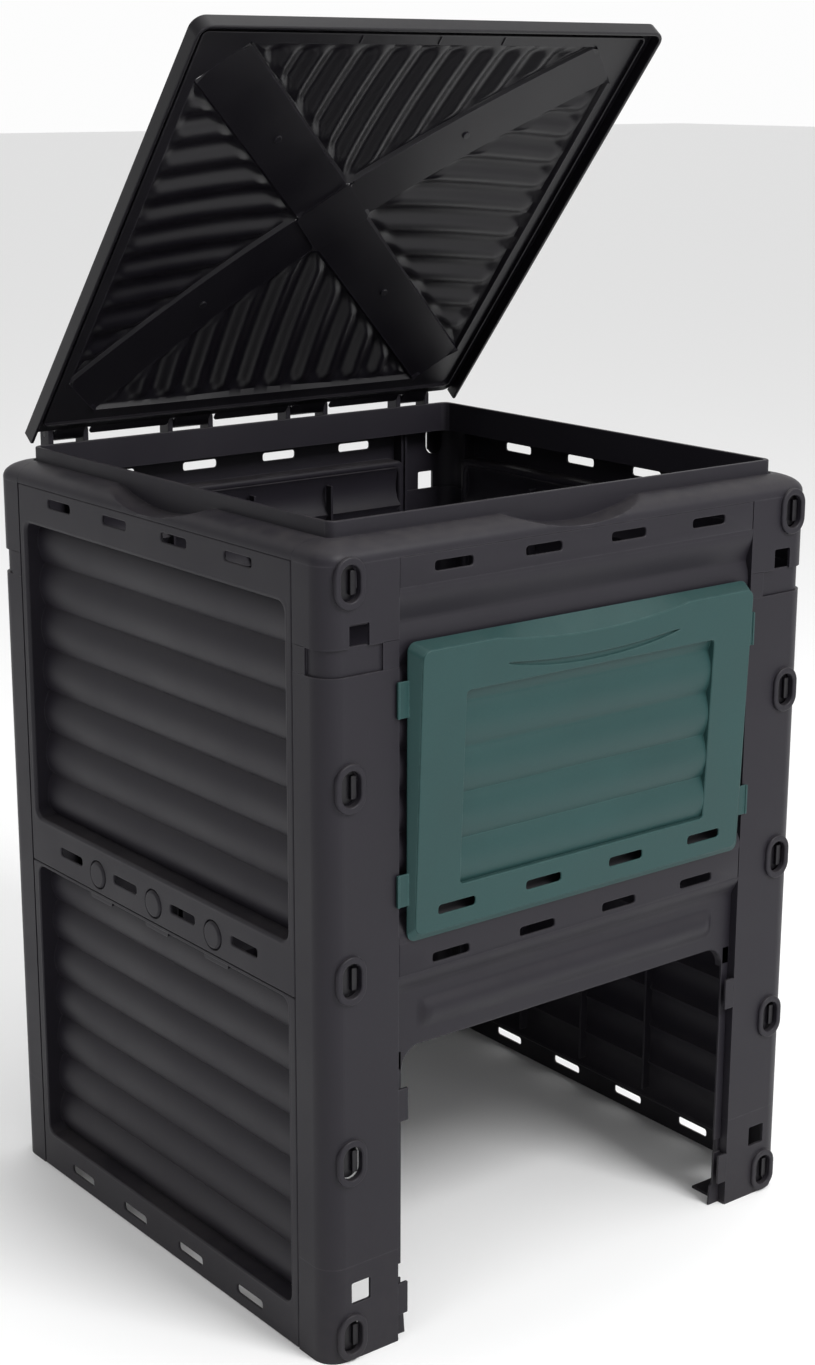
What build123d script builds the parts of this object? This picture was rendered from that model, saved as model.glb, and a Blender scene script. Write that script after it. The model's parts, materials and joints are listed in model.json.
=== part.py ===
from build123d import *
from math import cos, radians, sin
import os

# A square upright compost bin of snap-together moulded panels, open at the foot, with a lid
# hinged along the back and a harvest door that slides up the front.
# The ground is z = 0 and the origin is the centre of the whole footprint.

# Driving dimensions, millimetres
WIDTH = 610
DEPTH = 580
MID_Y = 7             # the door stands out in front, so the square body sits this far back
SKIN = 3
GAP = 0.5             # play between snapped mouldings

# Heights
FOOT_TOP = 98
GROOVE_LOW = 667
CAP_LOW = 692
RIM_LOW = 766
SHOULDER_LOW = 772
LEDGE_Z = 785
COLLAR_Z = 799
SPLIT_Z = 358         # upper panels stand on lower panels here
DOORWAY_TOP = 295
DOORWAY_HALF = 212
DOORWAY_R = 22

# Corners, measured from the middle of each wall
CORNER_R = 22
POST_FACE = 222       # where a post starts on the front and the back
POST_SIDE = 243       # where it starts on the sides
POST_RETURN = 20
NECK_FACE = 240       # the groove under a cap starts this far along the front or back
NECK_SIDE = 262
NECK_DEPTH = 2.5

# Sunken wavy fields
FIELD_STRIP = 12
FIELD_R = 10
FIELD_DEPTH = 18
FRONT_DEPTH = 9       # the front wall and its header are sunk only this far
SWELL = 3.5
UPPER_FIELD = (409, 726)
LOWER_FIELD = (42, 354)
WAVES = 7

# Vents, four to a row
SLOT_LENGTH = 44
SLOT_HEIGHT = 9
SLOT_PITCH = 106.6
SLOT_X = [(i - 1.5) * SLOT_PITCH for i in range(4)]
TOP_ROW = 753
MID_ROW = 382.6
FOOT_ROW = 17

# Snap studs along the split, each on a tongue
STUD_R = 14
STUD_Z = 378
STUD_OUT = 1.5
STUD_X = (-SLOT_PITCH, 0, SLOT_PITCH)
TONGUE_ROOT = 12

# Key holes and square drain holes on the posts
KEY_X = 277
KEY_ROWS = {"foot": [25], "post": [204, 384, 565], "cap": [750]}
KEY_RING = (47, 33, 3.5)
KEY_HOLE = (33, 21)
KEY_GRIP = (6, 22)
KEY_GRIP_X = 4.5      # the grip stands off the key's middle
SQUARE_X = 266
SQUARE = 22
SQUARE_ROWS = {"foot": [69], "post": [], "cap": [702]}

# Shoulder and collar around the top
SHOULDER = [(0, 768), (3, 775), (10, 781), (24, 785)]
SHOULDER_INSET = 24
COLLAR_INSET = 29
COLLAR_SKIN = 4
COLLAR_R = 8
SCOOP_HALF = 85
SCOOP_DEPTH = 17

# Lid, drawn closed in its own plane and laid open at rest
LID_OPEN = 50.7
HINGE_Y = MID_Y + 275
HINGE_Z = 808
LID_HALF = 283
LID_FRONT = -541
LID_BACK = -11
LID_REAR = -3         # between the hinges the plate runs on to here
LID_UNDER = -8.5
LID_SKIRT = -21
LID_BORDER = 28
LID_BAND_LEG = 42.4
LID_RISE = 17
KNUCKLES = [(-230, 35), (-78, 45), (78, 45), (230, 35)]
PIN_R = 4
PIN_PLAY = 0.05
KNUCKLE_R = 8.5
LUG_R = 9
LUG_SKIN = 6
LUG_FOOT = 777.6      # height of the shoulder under a lug's outer side

# Door, drawn raised as it rests
DOOR_HALF = 214
DOOR_Z = (406, 688)
DOOR_REAR = 1
DOOR_FACE = (7, 18)   # how far its foot and its top stand out
DOOR_DRAFT = 6        # the face is smaller than the rear edge by this much all round
DOOR_FIELD_HALF = 157
DOOR_FIELD_Z = (452, 638)
DOOR_FIELD_IN = 3
DOOR_SLOT_Z = 432
DOOR_WAVES = 4
DOOR_SWELL = 1.5
DOOR_SCOOP_R = 626
DOOR_SCOOP_DEPTH = 17
TAB_REACH = 226
TAB_SKIN = 3
TABS = [(442, 473), (620, 654)]

# Jambs of the doorway, and the ears of the posts that the closed door's tabs pass
JAMB_HEEL = (207, 24)
JAMB_NOTCH = (60, 75)
EAR_IN = 210.5
EARS = [(27, 60), (228, 261)]

# Wall planes: x along the wall, y up, z out of the bin
FRONT = Plane(origin=(0, MID_Y - DEPTH / 2, 0), x_dir=(1, 0, 0), z_dir=(0, -1, 0))
BACK = Plane(origin=(0, MID_Y + DEPTH / 2, 0), x_dir=(-1, 0, 0), z_dir=(0, 1, 0))
LEFT = Plane(origin=(-WIDTH / 2, MID_Y, 0), x_dir=(0, -1, 0), z_dir=(-1, 0, 0))
RIGHT = Plane(origin=(WIDTH / 2, MID_Y, 0), x_dir=(0, 1, 0), z_dir=(1, 0, 0))

# The open lid's plane: x along the hinge, y towards its back, z out of its upper face
LID = Plane(
    origin=(0, HINGE_Y, HINGE_Z),
    x_dir=(1, 0, 0),
    z_dir=(0, sin(radians(LID_OPEN)), cos(radians(LID_OPEN))),
)

os.makedirs("parts", exist_ok=True)


def save(piece, name):
    """Label a finished piece and write it."""
    piece.part.label = name
    export_step(piece.part, f"parts/{name}.step")


def side_on(plane):
    """The plane that sees a wall edge on: x out of the bin, y up."""
    return Plane(origin=plane.origin, x_dir=plane.z_dir, z_dir=-plane.x_dir)


def wavy_sheet(low, high, out_low, out_high, waves, swell=SWELL):
    """Outline of a sheet with soft horizontal waves, seen edge on."""
    count = 2 * waves
    steps = [i / count for i in range(count + 1)]
    crests = [
        (out_low + (out_high - out_low) * t - swell * cos(radians(180 * i)), low + (high - low) * t)
        for i, t in enumerate(steps)
    ]
    with BuildLine() as outline:
        outer = Spline(*crests)
        inner = Spline(*[(out - SKIN, up) for out, up in crests])
        Line(outer @ 0, inner @ 0)
        Line(outer @ 1, inner @ 1)
    make_face(outline.edges())


def vent_row(height):
    """Four vents cut through the skin being drawn."""
    with Locations(*[(x, height) for x in SLOT_X]):
        SlotOverall(SLOT_LENGTH, SLOT_HEIGHT, mode=Mode.SUBTRACT)


def wall_panel(name, plane, half, low, high, field, rows, studs=None, strip=FIELD_STRIP, depth=FIELD_DEPTH):
    """Half a wall: a proud frame round a sunken wavy field, with vents and ribs inside."""
    field_half = half - strip
    field_low, field_high = field
    field_mid = (field_low + field_high) / 2
    field_tall = field_high - field_low
    walls_half = min(field_half + SKIN, half)
    with BuildPart() as panel:
        with BuildSketch(plane):
            with Locations((0, (low + high) / 2)):
                Rectangle(2 * half, high - low)
            with Locations((0, field_mid)):
                if strip:
                    RectangleRounded(2 * field_half, field_tall, FIELD_R, mode=Mode.SUBTRACT)
                else:
                    Rectangle(2 * field_half, field_tall, mode=Mode.SUBTRACT)
            for row in rows:
                vent_row(row)
            if studs == "holes":
                with Locations(*[(x, STUD_Z) for x in STUD_X]):
                    Circle(STUD_R + GAP, mode=Mode.SUBTRACT)
        extrude(amount=-SKIN)
        # Walls of the sunken field
        with BuildSketch(plane):
            with Locations((0, field_mid)):
                Rectangle(2 * walls_half, field_tall + 2 * SKIN)
                if strip:
                    RectangleRounded(2 * field_half, field_tall, FIELD_R, mode=Mode.SUBTRACT)
                else:
                    Rectangle(2 * field_half, field_tall, mode=Mode.SUBTRACT)
        extrude(amount=-depth - SKIN)
        # Its wavy floor
        with BuildSketch(side_on(plane)):
            wavy_sheet(field_low - SKIN, field_high + SKIN, -depth, -depth, WAVES)
        extrude(amount=(field_half + walls_half) / 2, both=True)
        # Upright ribs inside
        with BuildSketch(plane.offset(-depth - SWELL - SKIN / 2)):
            with Locations(*[(x, field_mid) for x in STUD_X]):
                Rectangle(SKIN, field_tall - 2 * FIELD_R)
        extrude(amount=-FIELD_DEPTH / 2)
        # Flanges that meet the corner posts
        with BuildSketch(plane if strip else plane.offset(-depth)):
            with Locations(*[(side * (half - SKIN / 2), (low + high) / 2) for side in (-1, 1)]):
                Rectangle(SKIN, high - low)
        extrude(amount=-FIELD_DEPTH)
        if studs == "pegs":
            # Tongues that slip behind the upper panel, each with a round snap stud
            tongue_top = STUD_Z + 1.5 * STUD_R
            with BuildSketch(plane.offset(-SKIN + GAP)):
                with Locations(*[(x, high - TONGUE_ROOT / 2) for x in STUD_X]):
                    Rectangle(3 * STUD_R, TONGUE_ROOT)
            extrude(amount=-SKIN - 2 * GAP)
            with BuildSketch(plane.offset(-SKIN - GAP)):
                with Locations(*[(x, (high - TONGUE_ROOT / 2 + tongue_top) / 2) for x in STUD_X]):
                    Rectangle(3 * STUD_R, tongue_top - high + TONGUE_ROOT / 2)
            extrude(amount=-SKIN)
            with BuildSketch(plane.offset(-SKIN - GAP)):
                with Locations(*[(x, STUD_Z) for x in STUD_X]):
                    Circle(STUD_R)
            extrude(amount=SKIN + GAP + STUD_OUT)
    save(panel, name)


# Left, right and back walls, each an upper panel on a lower panel
UPPER_ROWS = (TOP_ROW, MID_ROW)
LOWER_ROWS = (FOOT_ROW,)
for side, plane, half in (
    ("left", LEFT, POST_SIDE),
    ("right", RIGHT, POST_SIDE),
    ("back", BACK, POST_FACE),
):
    wall_panel(f"{side}_upper_panel", plane, half, SPLIT_Z, RIM_LOW, UPPER_FIELD, UPPER_ROWS, "holes")
    wall_panel(f"{side}_lower_panel", plane, half, 0, SPLIT_Z, LOWER_FIELD, LOWER_ROWS, "pegs")

# Front wall above the doorway: its field runs the whole way across, behind the raised door
wall_panel(
    "front_upper_panel", FRONT, POST_FACE, SPLIT_Z, RIM_LOW, UPPER_FIELD, UPPER_ROWS,
    strip=0, depth=FRONT_DEPTH,
)

# Front header, a sunken lintel with one wave and rounded corners over the doorway
with BuildPart() as front_header:
    with BuildSketch(side_on(FRONT)):
        wavy_sheet(DOORWAY_TOP, SPLIT_Z, -FRONT_DEPTH, -FRONT_DEPTH, 1)
    extrude(amount=POST_FACE, both=True)
    # Rounded corners of the doorway
    with BuildSketch(FRONT.offset(-FRONT_DEPTH)):
        corner = (DOORWAY_HALF - DOORWAY_R / 2, DOORWAY_TOP - DOORWAY_R / 2)
        with Locations(corner, (-corner[0], corner[1])):
            Rectangle(DOORWAY_R, DOORWAY_R)
        with Locations((0, DOORWAY_TOP + SKIN / 2)):
            Rectangle(2 * POST_FACE, SKIN)
        with Locations((0, DOORWAY_TOP - DOORWAY_R)):
            RectangleRounded(2 * DOORWAY_HALF, 2 * DOORWAY_R, DOORWAY_R - GAP, mode=Mode.SUBTRACT)
    extrude(amount=-SKIN)
    # Lip under it, rolled back into the bin
    with BuildSketch(FRONT.offset(-FRONT_DEPTH)):
        with Locations((0, DOORWAY_TOP + SKIN / 2)):
            Rectangle(2 * POST_FACE, SKIN)
    extrude(amount=-FRONT_DEPTH)
    # Cheeks at its ends
    with BuildSketch(FRONT.offset(-FRONT_DEPTH)):
        with Locations(*[(side * (POST_FACE - SKIN / 2), (DOORWAY_TOP + SPLIT_Z) / 2) for side in (-1, 1)]):
            Rectangle(SKIN, SPLIT_Z - DOORWAY_TOP)
    extrude(amount=-FRONT_DEPTH - SKIN)
save(front_header, "front_header")

# Jambs each side of the doorway, sunk as deep as the header, each with a heel and a notch
heel_in, heel_top = JAMB_HEEL
notch_low, notch_high = JAMB_NOTCH
for side, hand in (("left", -1), ("right", 1)):
    with BuildPart() as jamb:
        with BuildSketch(FRONT.offset(-FRONT_DEPTH)):
            with Locations((hand * (POST_FACE + DOORWAY_HALF) / 2, DOORWAY_TOP / 2)):
                Rectangle(POST_FACE - DOORWAY_HALF, DOORWAY_TOP)
            with Locations((hand * (POST_FACE + heel_in) / 2, heel_top / 2)):
                Rectangle(POST_FACE - heel_in, heel_top)
            with Locations((hand * (DOORWAY_HALF + POST_FACE) / 2, (notch_low + notch_high) / 2)):
                Rectangle(POST_FACE - DOORWAY_HALF, notch_high - notch_low, mode=Mode.SUBTRACT)
        extrude(amount=-SKIN)
        with BuildSketch(FRONT.offset(-FRONT_DEPTH - SKIN)):
            with Locations((hand * (POST_FACE - SKIN / 2), DOORWAY_TOP / 2)):
                Rectangle(SKIN, DOORWAY_TOP)
        extrude(amount=-2 * SKIN)
    save(jamb, f"front_jamb_{side}")

# Ears on the posts, level with their faces, over the sunken jambs
with BuildPart() as door_clips:
    for hand in (-1, 1):
        for low, high in EARS:
            with BuildSketch(FRONT):
                with Locations((hand * (POST_FACE + EAR_IN) / 2, (low + high) / 2)):
                    Rectangle(POST_FACE - EAR_IN, high - low)
            extrude(amount=-SKIN)
save(door_clips, "door_clips")


def corner_section(section, hand_x, hand_y, groove=0):
    """Draw the plan of a corner moulding, its outer face set back by a groove round the corner."""
    edge_x = WIDTH / 2
    edge_y = DEPTH / 2
    outline = [(POST_FACE, edge_y - POST_RETURN), (POST_FACE, edge_y)]
    if groove:
        outline += [(NECK_FACE, edge_y), (NECK_FACE, edge_y - groove)]
    outline += [(edge_x - groove, edge_y - groove)]
    if groove:
        outline += [(edge_x - groove, NECK_SIDE), (edge_x, NECK_SIDE)]
    outline += [
        (edge_x, POST_SIDE),
        (edge_x - SKIN - groove, POST_SIDE),
        (edge_x - SKIN - groove, edge_y - SKIN - groove),
        (POST_FACE + SKIN, edge_y - SKIN - groove),
        (POST_FACE + SKIN, edge_y - POST_RETURN),
    ]
    points = [(hand_x * x, MID_Y + hand_y * y) for x, y in outline]
    with BuildLine() as plan:
        Polyline(*points, close=True)
    make_face(plan.edges())
    outer = (hand_x * (edge_x - groove), MID_Y + hand_y * (edge_y - groove))
    fillet(section.vertices().sort_by_distance(outer)[0], CORNER_R - groove)
    fillet(section.vertices().sort_by_distance(points[-3])[0], CORNER_R - groove - SKIN)


def corner_piece(kind, hand_x, hand_y, low, high):
    """A foot, post or cap at one corner, with its key rings and square holes."""
    wall = FRONT if hand_y < 0 else BACK
    turn = -hand_x * hand_y
    with BuildPart() as piece:
        with BuildSketch(Plane.XY.offset(low)) as section:
            corner_section(section, hand_x, hand_y)
        extrude(amount=high - low)
        if kind == "cap":
            # The cap's grooved neck drops to the post
            with BuildSketch(Plane.XY.offset(GROOVE_LOW)) as neck:
                corner_section(neck, hand_x, hand_y, NECK_DEPTH)
            extrude(amount=CAP_LOW - GROOVE_LOW)
        if kind == "foot":
            # Flat sole
            with BuildSketch(Plane.XY) as sole:
                x = hand_x * (WIDTH / 2 + POST_FACE) / 2
                y = MID_Y + hand_y * (DEPTH / 2 + POST_SIDE) / 2
                with Locations((x, y)):
                    Rectangle(WIDTH / 2 - POST_FACE, DEPTH / 2 - POST_SIDE)
                heel = (hand_x * WIDTH / 2, MID_Y + hand_y * DEPTH / 2)
                fillet(sole.vertices().sort_by_distance(heel)[0], CORNER_R)
            extrude(amount=SKIN)
        ring_length, ring_width, ring_out = KEY_RING
        with BuildSketch(wall):
            with Locations(*[(turn * KEY_X, z) for z in KEY_ROWS[kind]]):
                SlotOverall(ring_length, ring_width, rotation=90)
        extrude(amount=ring_out)
        with BuildSketch(wall.offset(ring_out)):
            with Locations(*[(turn * KEY_X, z) for z in KEY_ROWS[kind]]):
                SlotOverall(*KEY_HOLE, rotation=90)
            for z in SQUARE_ROWS[kind]:
                with Locations((turn * SQUARE_X, z)):
                    Rectangle(SQUARE, SQUARE)
        extrude(amount=-ring_out - 2 * SKIN, mode=Mode.SUBTRACT)
    where = f"{'front' if hand_y < 0 else 'back'}_{'left' if hand_x < 0 else 'right'}"
    save(piece, f"{where}_{kind}")


# Four corners, each a foot, a post and a cap
CORNERS = [(-1, -1), (1, -1), (-1, 1), (1, 1)]
for hand_x, hand_y in CORNERS:
    corner_piece("foot", hand_x, hand_y, 0, FOOT_TOP)
    corner_piece("post", hand_x, hand_y, FOOT_TOP, GROOVE_LOW)
    corner_piece("cap", hand_x, hand_y, CAP_LOW, RIM_LOW)

# Lock keys, one in every ring: an oval shoe with an upright grip
with BuildPart() as lock_keys:
    for hand_x, hand_y in CORNERS:
        wall = FRONT if hand_y < 0 else BACK
        turn = -hand_x * hand_y
        spots = [(turn * KEY_X, z) for rows in KEY_ROWS.values() for z in rows]
        with BuildSketch(wall.offset(-SKIN - GAP)):
            with Locations(*spots):
                SlotOverall(KEY_HOLE[0] - 2 * GAP, KEY_HOLE[1] - 2 * GAP, rotation=90)
        extrude(amount=-2 * SKIN)
        with BuildSketch(wall.offset(-SKIN - GAP)):
            with Locations(*[(x + KEY_GRIP_X, z) for x, z in spots]):
                Rectangle(*KEY_GRIP)
        extrude(amount=SKIN)
save(lock_keys, "lock_keys")


# Rim: shoulder, ledge and collar round the top, cut into four where the walls meet the corners
with BuildPart() as rim:
    with BuildSketch(Plane.XY.offset(RIM_LOW)):
        with Locations((0, MID_Y)):
            RectangleRounded(WIDTH, DEPTH, CORNER_R)
    extrude(amount=SHOULDER[0][1] - RIM_LOW)
    # Shoulder, turning in to the ledge
    for inset, height in SHOULDER:
        with BuildSketch(Plane.XY.offset(height)):
            with Locations((0, MID_Y)):
                bend = CORNER_R - (CORNER_R - COLLAR_R) * inset / SHOULDER_INSET
                RectangleRounded(WIDTH - 2 * inset, DEPTH - 2 * inset, bend)
    loft(ruled=True)
    # Finger scoops in the middle of each side, under the lid's edge
    scoop_r = (SCOOP_HALF**2 + SCOOP_DEPTH**2) / (2 * SCOOP_DEPTH)
    for wall in (FRONT, BACK, LEFT, RIGHT):
        with BuildSketch(wall.offset(1)):
            with Locations((0, LEDGE_Z - SCOOP_DEPTH + scoop_r)):
                Circle(scoop_r)
        extrude(amount=-COLLAR_INSET - 1, mode=Mode.SUBTRACT)
    with BuildSketch(Plane.XY.offset(RIM_LOW)):
        with Locations((0, MID_Y)):
            RectangleRounded(WIDTH - 2 * COLLAR_INSET, DEPTH - 2 * COLLAR_INSET, COLLAR_R)
    extrude(amount=COLLAR_Z - RIM_LOW)
    with BuildSketch(Plane.XY.offset(RIM_LOW)):
        hollow = 2 * (COLLAR_INSET + COLLAR_SKIN)
        with Locations((0, MID_Y)):
            RectangleRounded(WIDTH - hollow, DEPTH - hollow, COLLAR_R - COLLAR_SKIN)
    extrude(amount=COLLAR_Z - RIM_LOW, mode=Mode.SUBTRACT)

for name, low_y, high_y, hand in (
    ("front_rim", -DEPTH, -POST_SIDE, 0),
    ("back_rim", POST_SIDE, DEPTH, 0),
    ("left_rim", -POST_SIDE, POST_SIDE, -1),
    ("right_rim", -POST_SIDE, POST_SIDE, 1),
):
    with BuildPart() as rim_piece:
        add(rim.part)
        with BuildSketch(Plane.XY.offset(RIM_LOW)):
            with Locations((hand * WIDTH / 2, MID_Y + (low_y + high_y) / 2)):
                Rectangle(WIDTH * (2 - abs(hand)), high_y - low_y)
        extrude(amount=COLLAR_Z, mode=Mode.INTERSECT)
    save(rim_piece, name)

# Hinge lugs, a pair of cheeks astride each knuckle, standing on the back shoulder
EDGE_ON = Plane(origin=(0, HINGE_Y, HINGE_Z), x_dir=(0, 1, 0), z_dir=(1, 0, 0))
LUG_MIDDLE = (MID_Y + DEPTH / 2 - SHOULDER[2][0] - HINGE_Y, SHOULDER[2][1] - HINGE_Z)
LUG_BASE = [(-LUG_R, 0), (-LUG_R, LEDGE_Z - HINGE_Z), LUG_MIDDLE, (LUG_R, LUG_FOOT - HINGE_Z), (LUG_R, 0)]
with BuildPart() as hinge_lugs:
    for x, width in KNUCKLES:
        for hand in (-1, 1):
            with BuildSketch(EDGE_ON.offset(x + hand * (width / 2 + GAP + LUG_SKIN / 2))):
                Circle(LUG_R)
                with BuildLine():
                    Polyline(*LUG_BASE, close=True)
                make_face()
                Circle(PIN_R, mode=Mode.SUBTRACT)
            extrude(amount=LUG_SKIN / 2, both=True)
save(hinge_lugs, "hinge_lugs")

# Hinge pins, one through each pair of lugs
with BuildPart() as hinge_pins:
    for x, width in KNUCKLES:
        with BuildSketch(EDGE_ON.offset(x)):
            Circle(PIN_R)
        extrude(amount=width / 2 + GAP + LUG_SKIN, both=True)
save(hinge_pins, "hinge_pins")


def banded_outline(sketch, half_x, half_y):
    """Draw a rectangle whose corners are cut to the width of the lid's diagonal bands."""
    with Locations((0, (LID_FRONT + LID_BACK) / 2)):
        Rectangle(2 * half_x, 2 * half_y)
    chamfer(sketch.vertices(), LID_BAND_LEG)


# Lid: a skirted border round a low four-sided dome with an X of flat bands over its hips
LID_MID = (LID_FRONT + LID_BACK) / 2
DOME_X = LID_HALF - LID_BORDER
DOME_Y = (LID_BACK - LID_FRONT) / 2 - LID_BORDER
APEX = LID_BAND_LEG + 2
HINGE_HALVES = [width / 2 + LUG_SKIN + 3 * GAP for x, width in KNUCKLES]
HINGE_SPANS = [(x - half, x + half) for (x, width), half in zip(KNUCKLES, HINGE_HALVES)]
LID_TONGUES = [(left[1], right[0]) for left, right in zip(HINGE_SPANS, HINGE_SPANS[1:])]
with BuildPart() as lid:
    with BuildSketch(LID.offset(LID_UNDER)):
        with Locations((0, LID_MID)):
            RectangleRounded(2 * LID_HALF, LID_BACK - LID_FRONT, COLLAR_R)
        # Tongues of the rear edge between the hinges
        for left, right in LID_TONGUES:
            with Locations(((left + right) / 2, (LID_REAR + LID_BACK - COLLAR_R) / 2)):
                Rectangle(right - left, LID_REAR - LID_BACK + COLLAR_R)
    extrude(amount=SKIN)
    with BuildSketch(LID.offset(LID_UNDER + SKIN)) as foot_of_dome:
        banded_outline(foot_of_dome, DOME_X, DOME_Y)
    with BuildSketch(LID.offset(LID_RISE)) as top_of_dome:
        banded_outline(top_of_dome, APEX, APEX)
    loft()
    with BuildSketch(LID.offset(LID_UNDER)) as mouth:
        banded_outline(mouth, DOME_X, DOME_Y)
    with BuildSketch(LID.offset(LID_RISE - SKIN)) as ceiling:
        banded_outline(ceiling, APEX, APEX)
    loft(mode=Mode.SUBTRACT)
    # Skirt on the front and the sides; the back edge is left open for the hinge
    with BuildSketch(LID.offset(LID_SKIRT)):
        with Locations((0, LID_MID)):
            RectangleRounded(2 * LID_HALF, LID_BACK - LID_FRONT, COLLAR_R)
        inner_front = LID_FRONT + SKIN
        inner_back = LID_BACK + SKIN
        with Locations((0, (inner_front + inner_back) / 2)):
            Rectangle(2 * (LID_HALF - SKIN), inner_back - inner_front, mode=Mode.SUBTRACT)
    extrude(amount=LID_UNDER - LID_SKIRT)
    # Knuckles that turn on the pins
    for x, width in KNUCKLES:
        with BuildSketch(Plane(origin=LID.origin, x_dir=LID.y_dir, z_dir=LID.x_dir).offset(x)):
            Circle(KNUCKLE_R)
            with Locations((LID_BACK - SKIN, LID_UNDER + SKIN / 2)):
                Rectangle(-2 * LID_BACK, SKIN)
            Circle(PIN_R + PIN_PLAY, mode=Mode.SUBTRACT)
        extrude(amount=width / 2, both=True)
save(lid, "lid")

# Door face, leaning out towards its top
DOOR_LEAN = Plane(
    origin=FRONT.from_local_coords((0, DOOR_Z[0], DOOR_FACE[0])),
    x_dir=(1, 0, 0),
    z_dir=(0, DOOR_Z[0] - DOOR_Z[1], DOOR_FACE[0] - DOOR_FACE[1]),
)
DOOR_TALL = DOOR_Z[1] - DOOR_Z[0]


def door_block(inset, behind):
    """The door's outer form, or the same form drawn in by a skin: narrower at its face."""
    with BuildPart() as block:
        with BuildSketch(FRONT.offset(DOOR_REAR - behind)):
            with Locations((0, sum(DOOR_Z) / 2)):
                Rectangle(2 * (DOOR_HALF - inset), DOOR_TALL - 2 * inset)
        with BuildSketch(DOOR_LEAN.offset(-inset)):
            with Locations((0, DOOR_TALL / 2)):
                Rectangle(2 * (DOOR_HALF - DOOR_DRAFT - inset), DOOR_TALL - 2 * (DOOR_DRAFT + inset))
        loft()
    return block.part


# Space behind the door's face: what its shell and the walls of its field leave empty
with BuildPart() as door_hollow:
    add(door_block(SKIN, GAP))
    with BuildSketch(FRONT):
        with Locations((0, sum(DOOR_FIELD_Z) / 2)):
            Rectangle(2 * (DOOR_FIELD_HALF + SKIN), DOOR_FIELD_Z[1] - DOOR_FIELD_Z[0] + 2 * SKIN)
    extrude(amount=2 * DOOR_FACE[1], mode=Mode.SUBTRACT)
    with BuildSketch(FRONT.offset(DOOR_FACE[0] - SKIN)):
        with Locations((0, DOOR_Z[1] - DOOR_SCOOP_DEPTH + DOOR_SCOOP_R)):
            Circle(DOOR_SCOOP_R + SKIN)
    extrude(amount=2 * DOOR_FACE[1], mode=Mode.SUBTRACT)

# Door: a shallow tray, deeper at its top, with a sunken wavy field, vents and four tabs
with BuildPart() as door:
    add(door_block(0, 0))
    add(door_hollow.part, mode=Mode.SUBTRACT)
    with BuildSketch(FRONT):
        with Locations((0, sum(DOOR_FIELD_Z) / 2)):
            Rectangle(2 * DOOR_FIELD_HALF, DOOR_FIELD_Z[1] - DOOR_FIELD_Z[0])
        with Locations(*[(x, DOOR_SLOT_Z) for x in SLOT_X]):
            SlotOverall(SLOT_LENGTH, SLOT_HEIGHT)
    extrude(amount=2 * DOOR_FACE[1], mode=Mode.SUBTRACT)
    # Dip in the top edge of its face
    with BuildSketch(FRONT.offset(DOOR_FACE[0])):
        with Locations((0, DOOR_Z[1] - DOOR_SCOOP_DEPTH + DOOR_SCOOP_R)):
            Circle(DOOR_SCOOP_R)
    extrude(amount=2 * DOOR_FACE[1], mode=Mode.SUBTRACT)
    # Wavy floor of the field, parallel to the face
    field_out = [out - DOOR_FIELD_IN for out in DOOR_FACE]
    with BuildSketch(side_on(FRONT)):
        wavy_sheet(DOOR_FIELD_Z[0] - SKIN, DOOR_FIELD_Z[1] + SKIN, *field_out, DOOR_WAVES, DOOR_SWELL)
    extrude(amount=DOOR_FIELD_HALF + SKIN / 2, both=True)
    # Nothing stands behind its rear edge
    with BuildSketch(FRONT.offset(DOOR_REAR)):
        with Locations((0, sum(DOOR_Z) / 2)):
            Rectangle(2 * DOOR_HALF, DOOR_Z[1] - DOOR_Z[0])
    extrude(amount=-2 * DOOR_FACE[0], mode=Mode.SUBTRACT)
    # Tabs at the sides
    for hand in (-1, 1):
        for low, high in TABS:
            with BuildSketch(FRONT.offset(DOOR_REAR)):
                with Locations((hand * (DOOR_HALF + TAB_REACH - SKIN) / 2, (low + high) / 2)):
                    Rectangle(TAB_REACH - DOOR_HALF + SKIN, high - low)
            extrude(amount=TAB_SKIN)
save(door, "door")
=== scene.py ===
import json
from math import cos, pi, radians, sin, sqrt

import bmesh
import bpy
from mathutils import Matrix, Vector


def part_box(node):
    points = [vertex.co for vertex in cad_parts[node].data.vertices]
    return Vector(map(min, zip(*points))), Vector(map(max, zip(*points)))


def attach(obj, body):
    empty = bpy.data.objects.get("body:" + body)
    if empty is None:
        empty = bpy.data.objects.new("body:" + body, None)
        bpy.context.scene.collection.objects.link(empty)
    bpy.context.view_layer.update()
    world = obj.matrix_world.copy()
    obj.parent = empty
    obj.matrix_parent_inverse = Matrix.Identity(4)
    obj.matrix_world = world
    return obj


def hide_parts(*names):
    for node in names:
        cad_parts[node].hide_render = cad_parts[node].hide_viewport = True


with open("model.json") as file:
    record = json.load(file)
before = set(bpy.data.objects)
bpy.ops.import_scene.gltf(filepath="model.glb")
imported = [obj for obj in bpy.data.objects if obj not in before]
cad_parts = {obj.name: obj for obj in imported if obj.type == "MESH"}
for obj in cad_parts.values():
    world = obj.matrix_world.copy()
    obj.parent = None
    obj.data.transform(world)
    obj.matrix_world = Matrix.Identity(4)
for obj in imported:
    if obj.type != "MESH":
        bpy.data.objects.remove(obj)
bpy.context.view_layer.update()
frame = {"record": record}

MM = 0.001

# Moulded plastic.
# Every piece is injection moulded polypropylene with a fine spark-eroded grain, slightly
# rubbed along its edges and dusty where soil and rain reach it.


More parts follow.
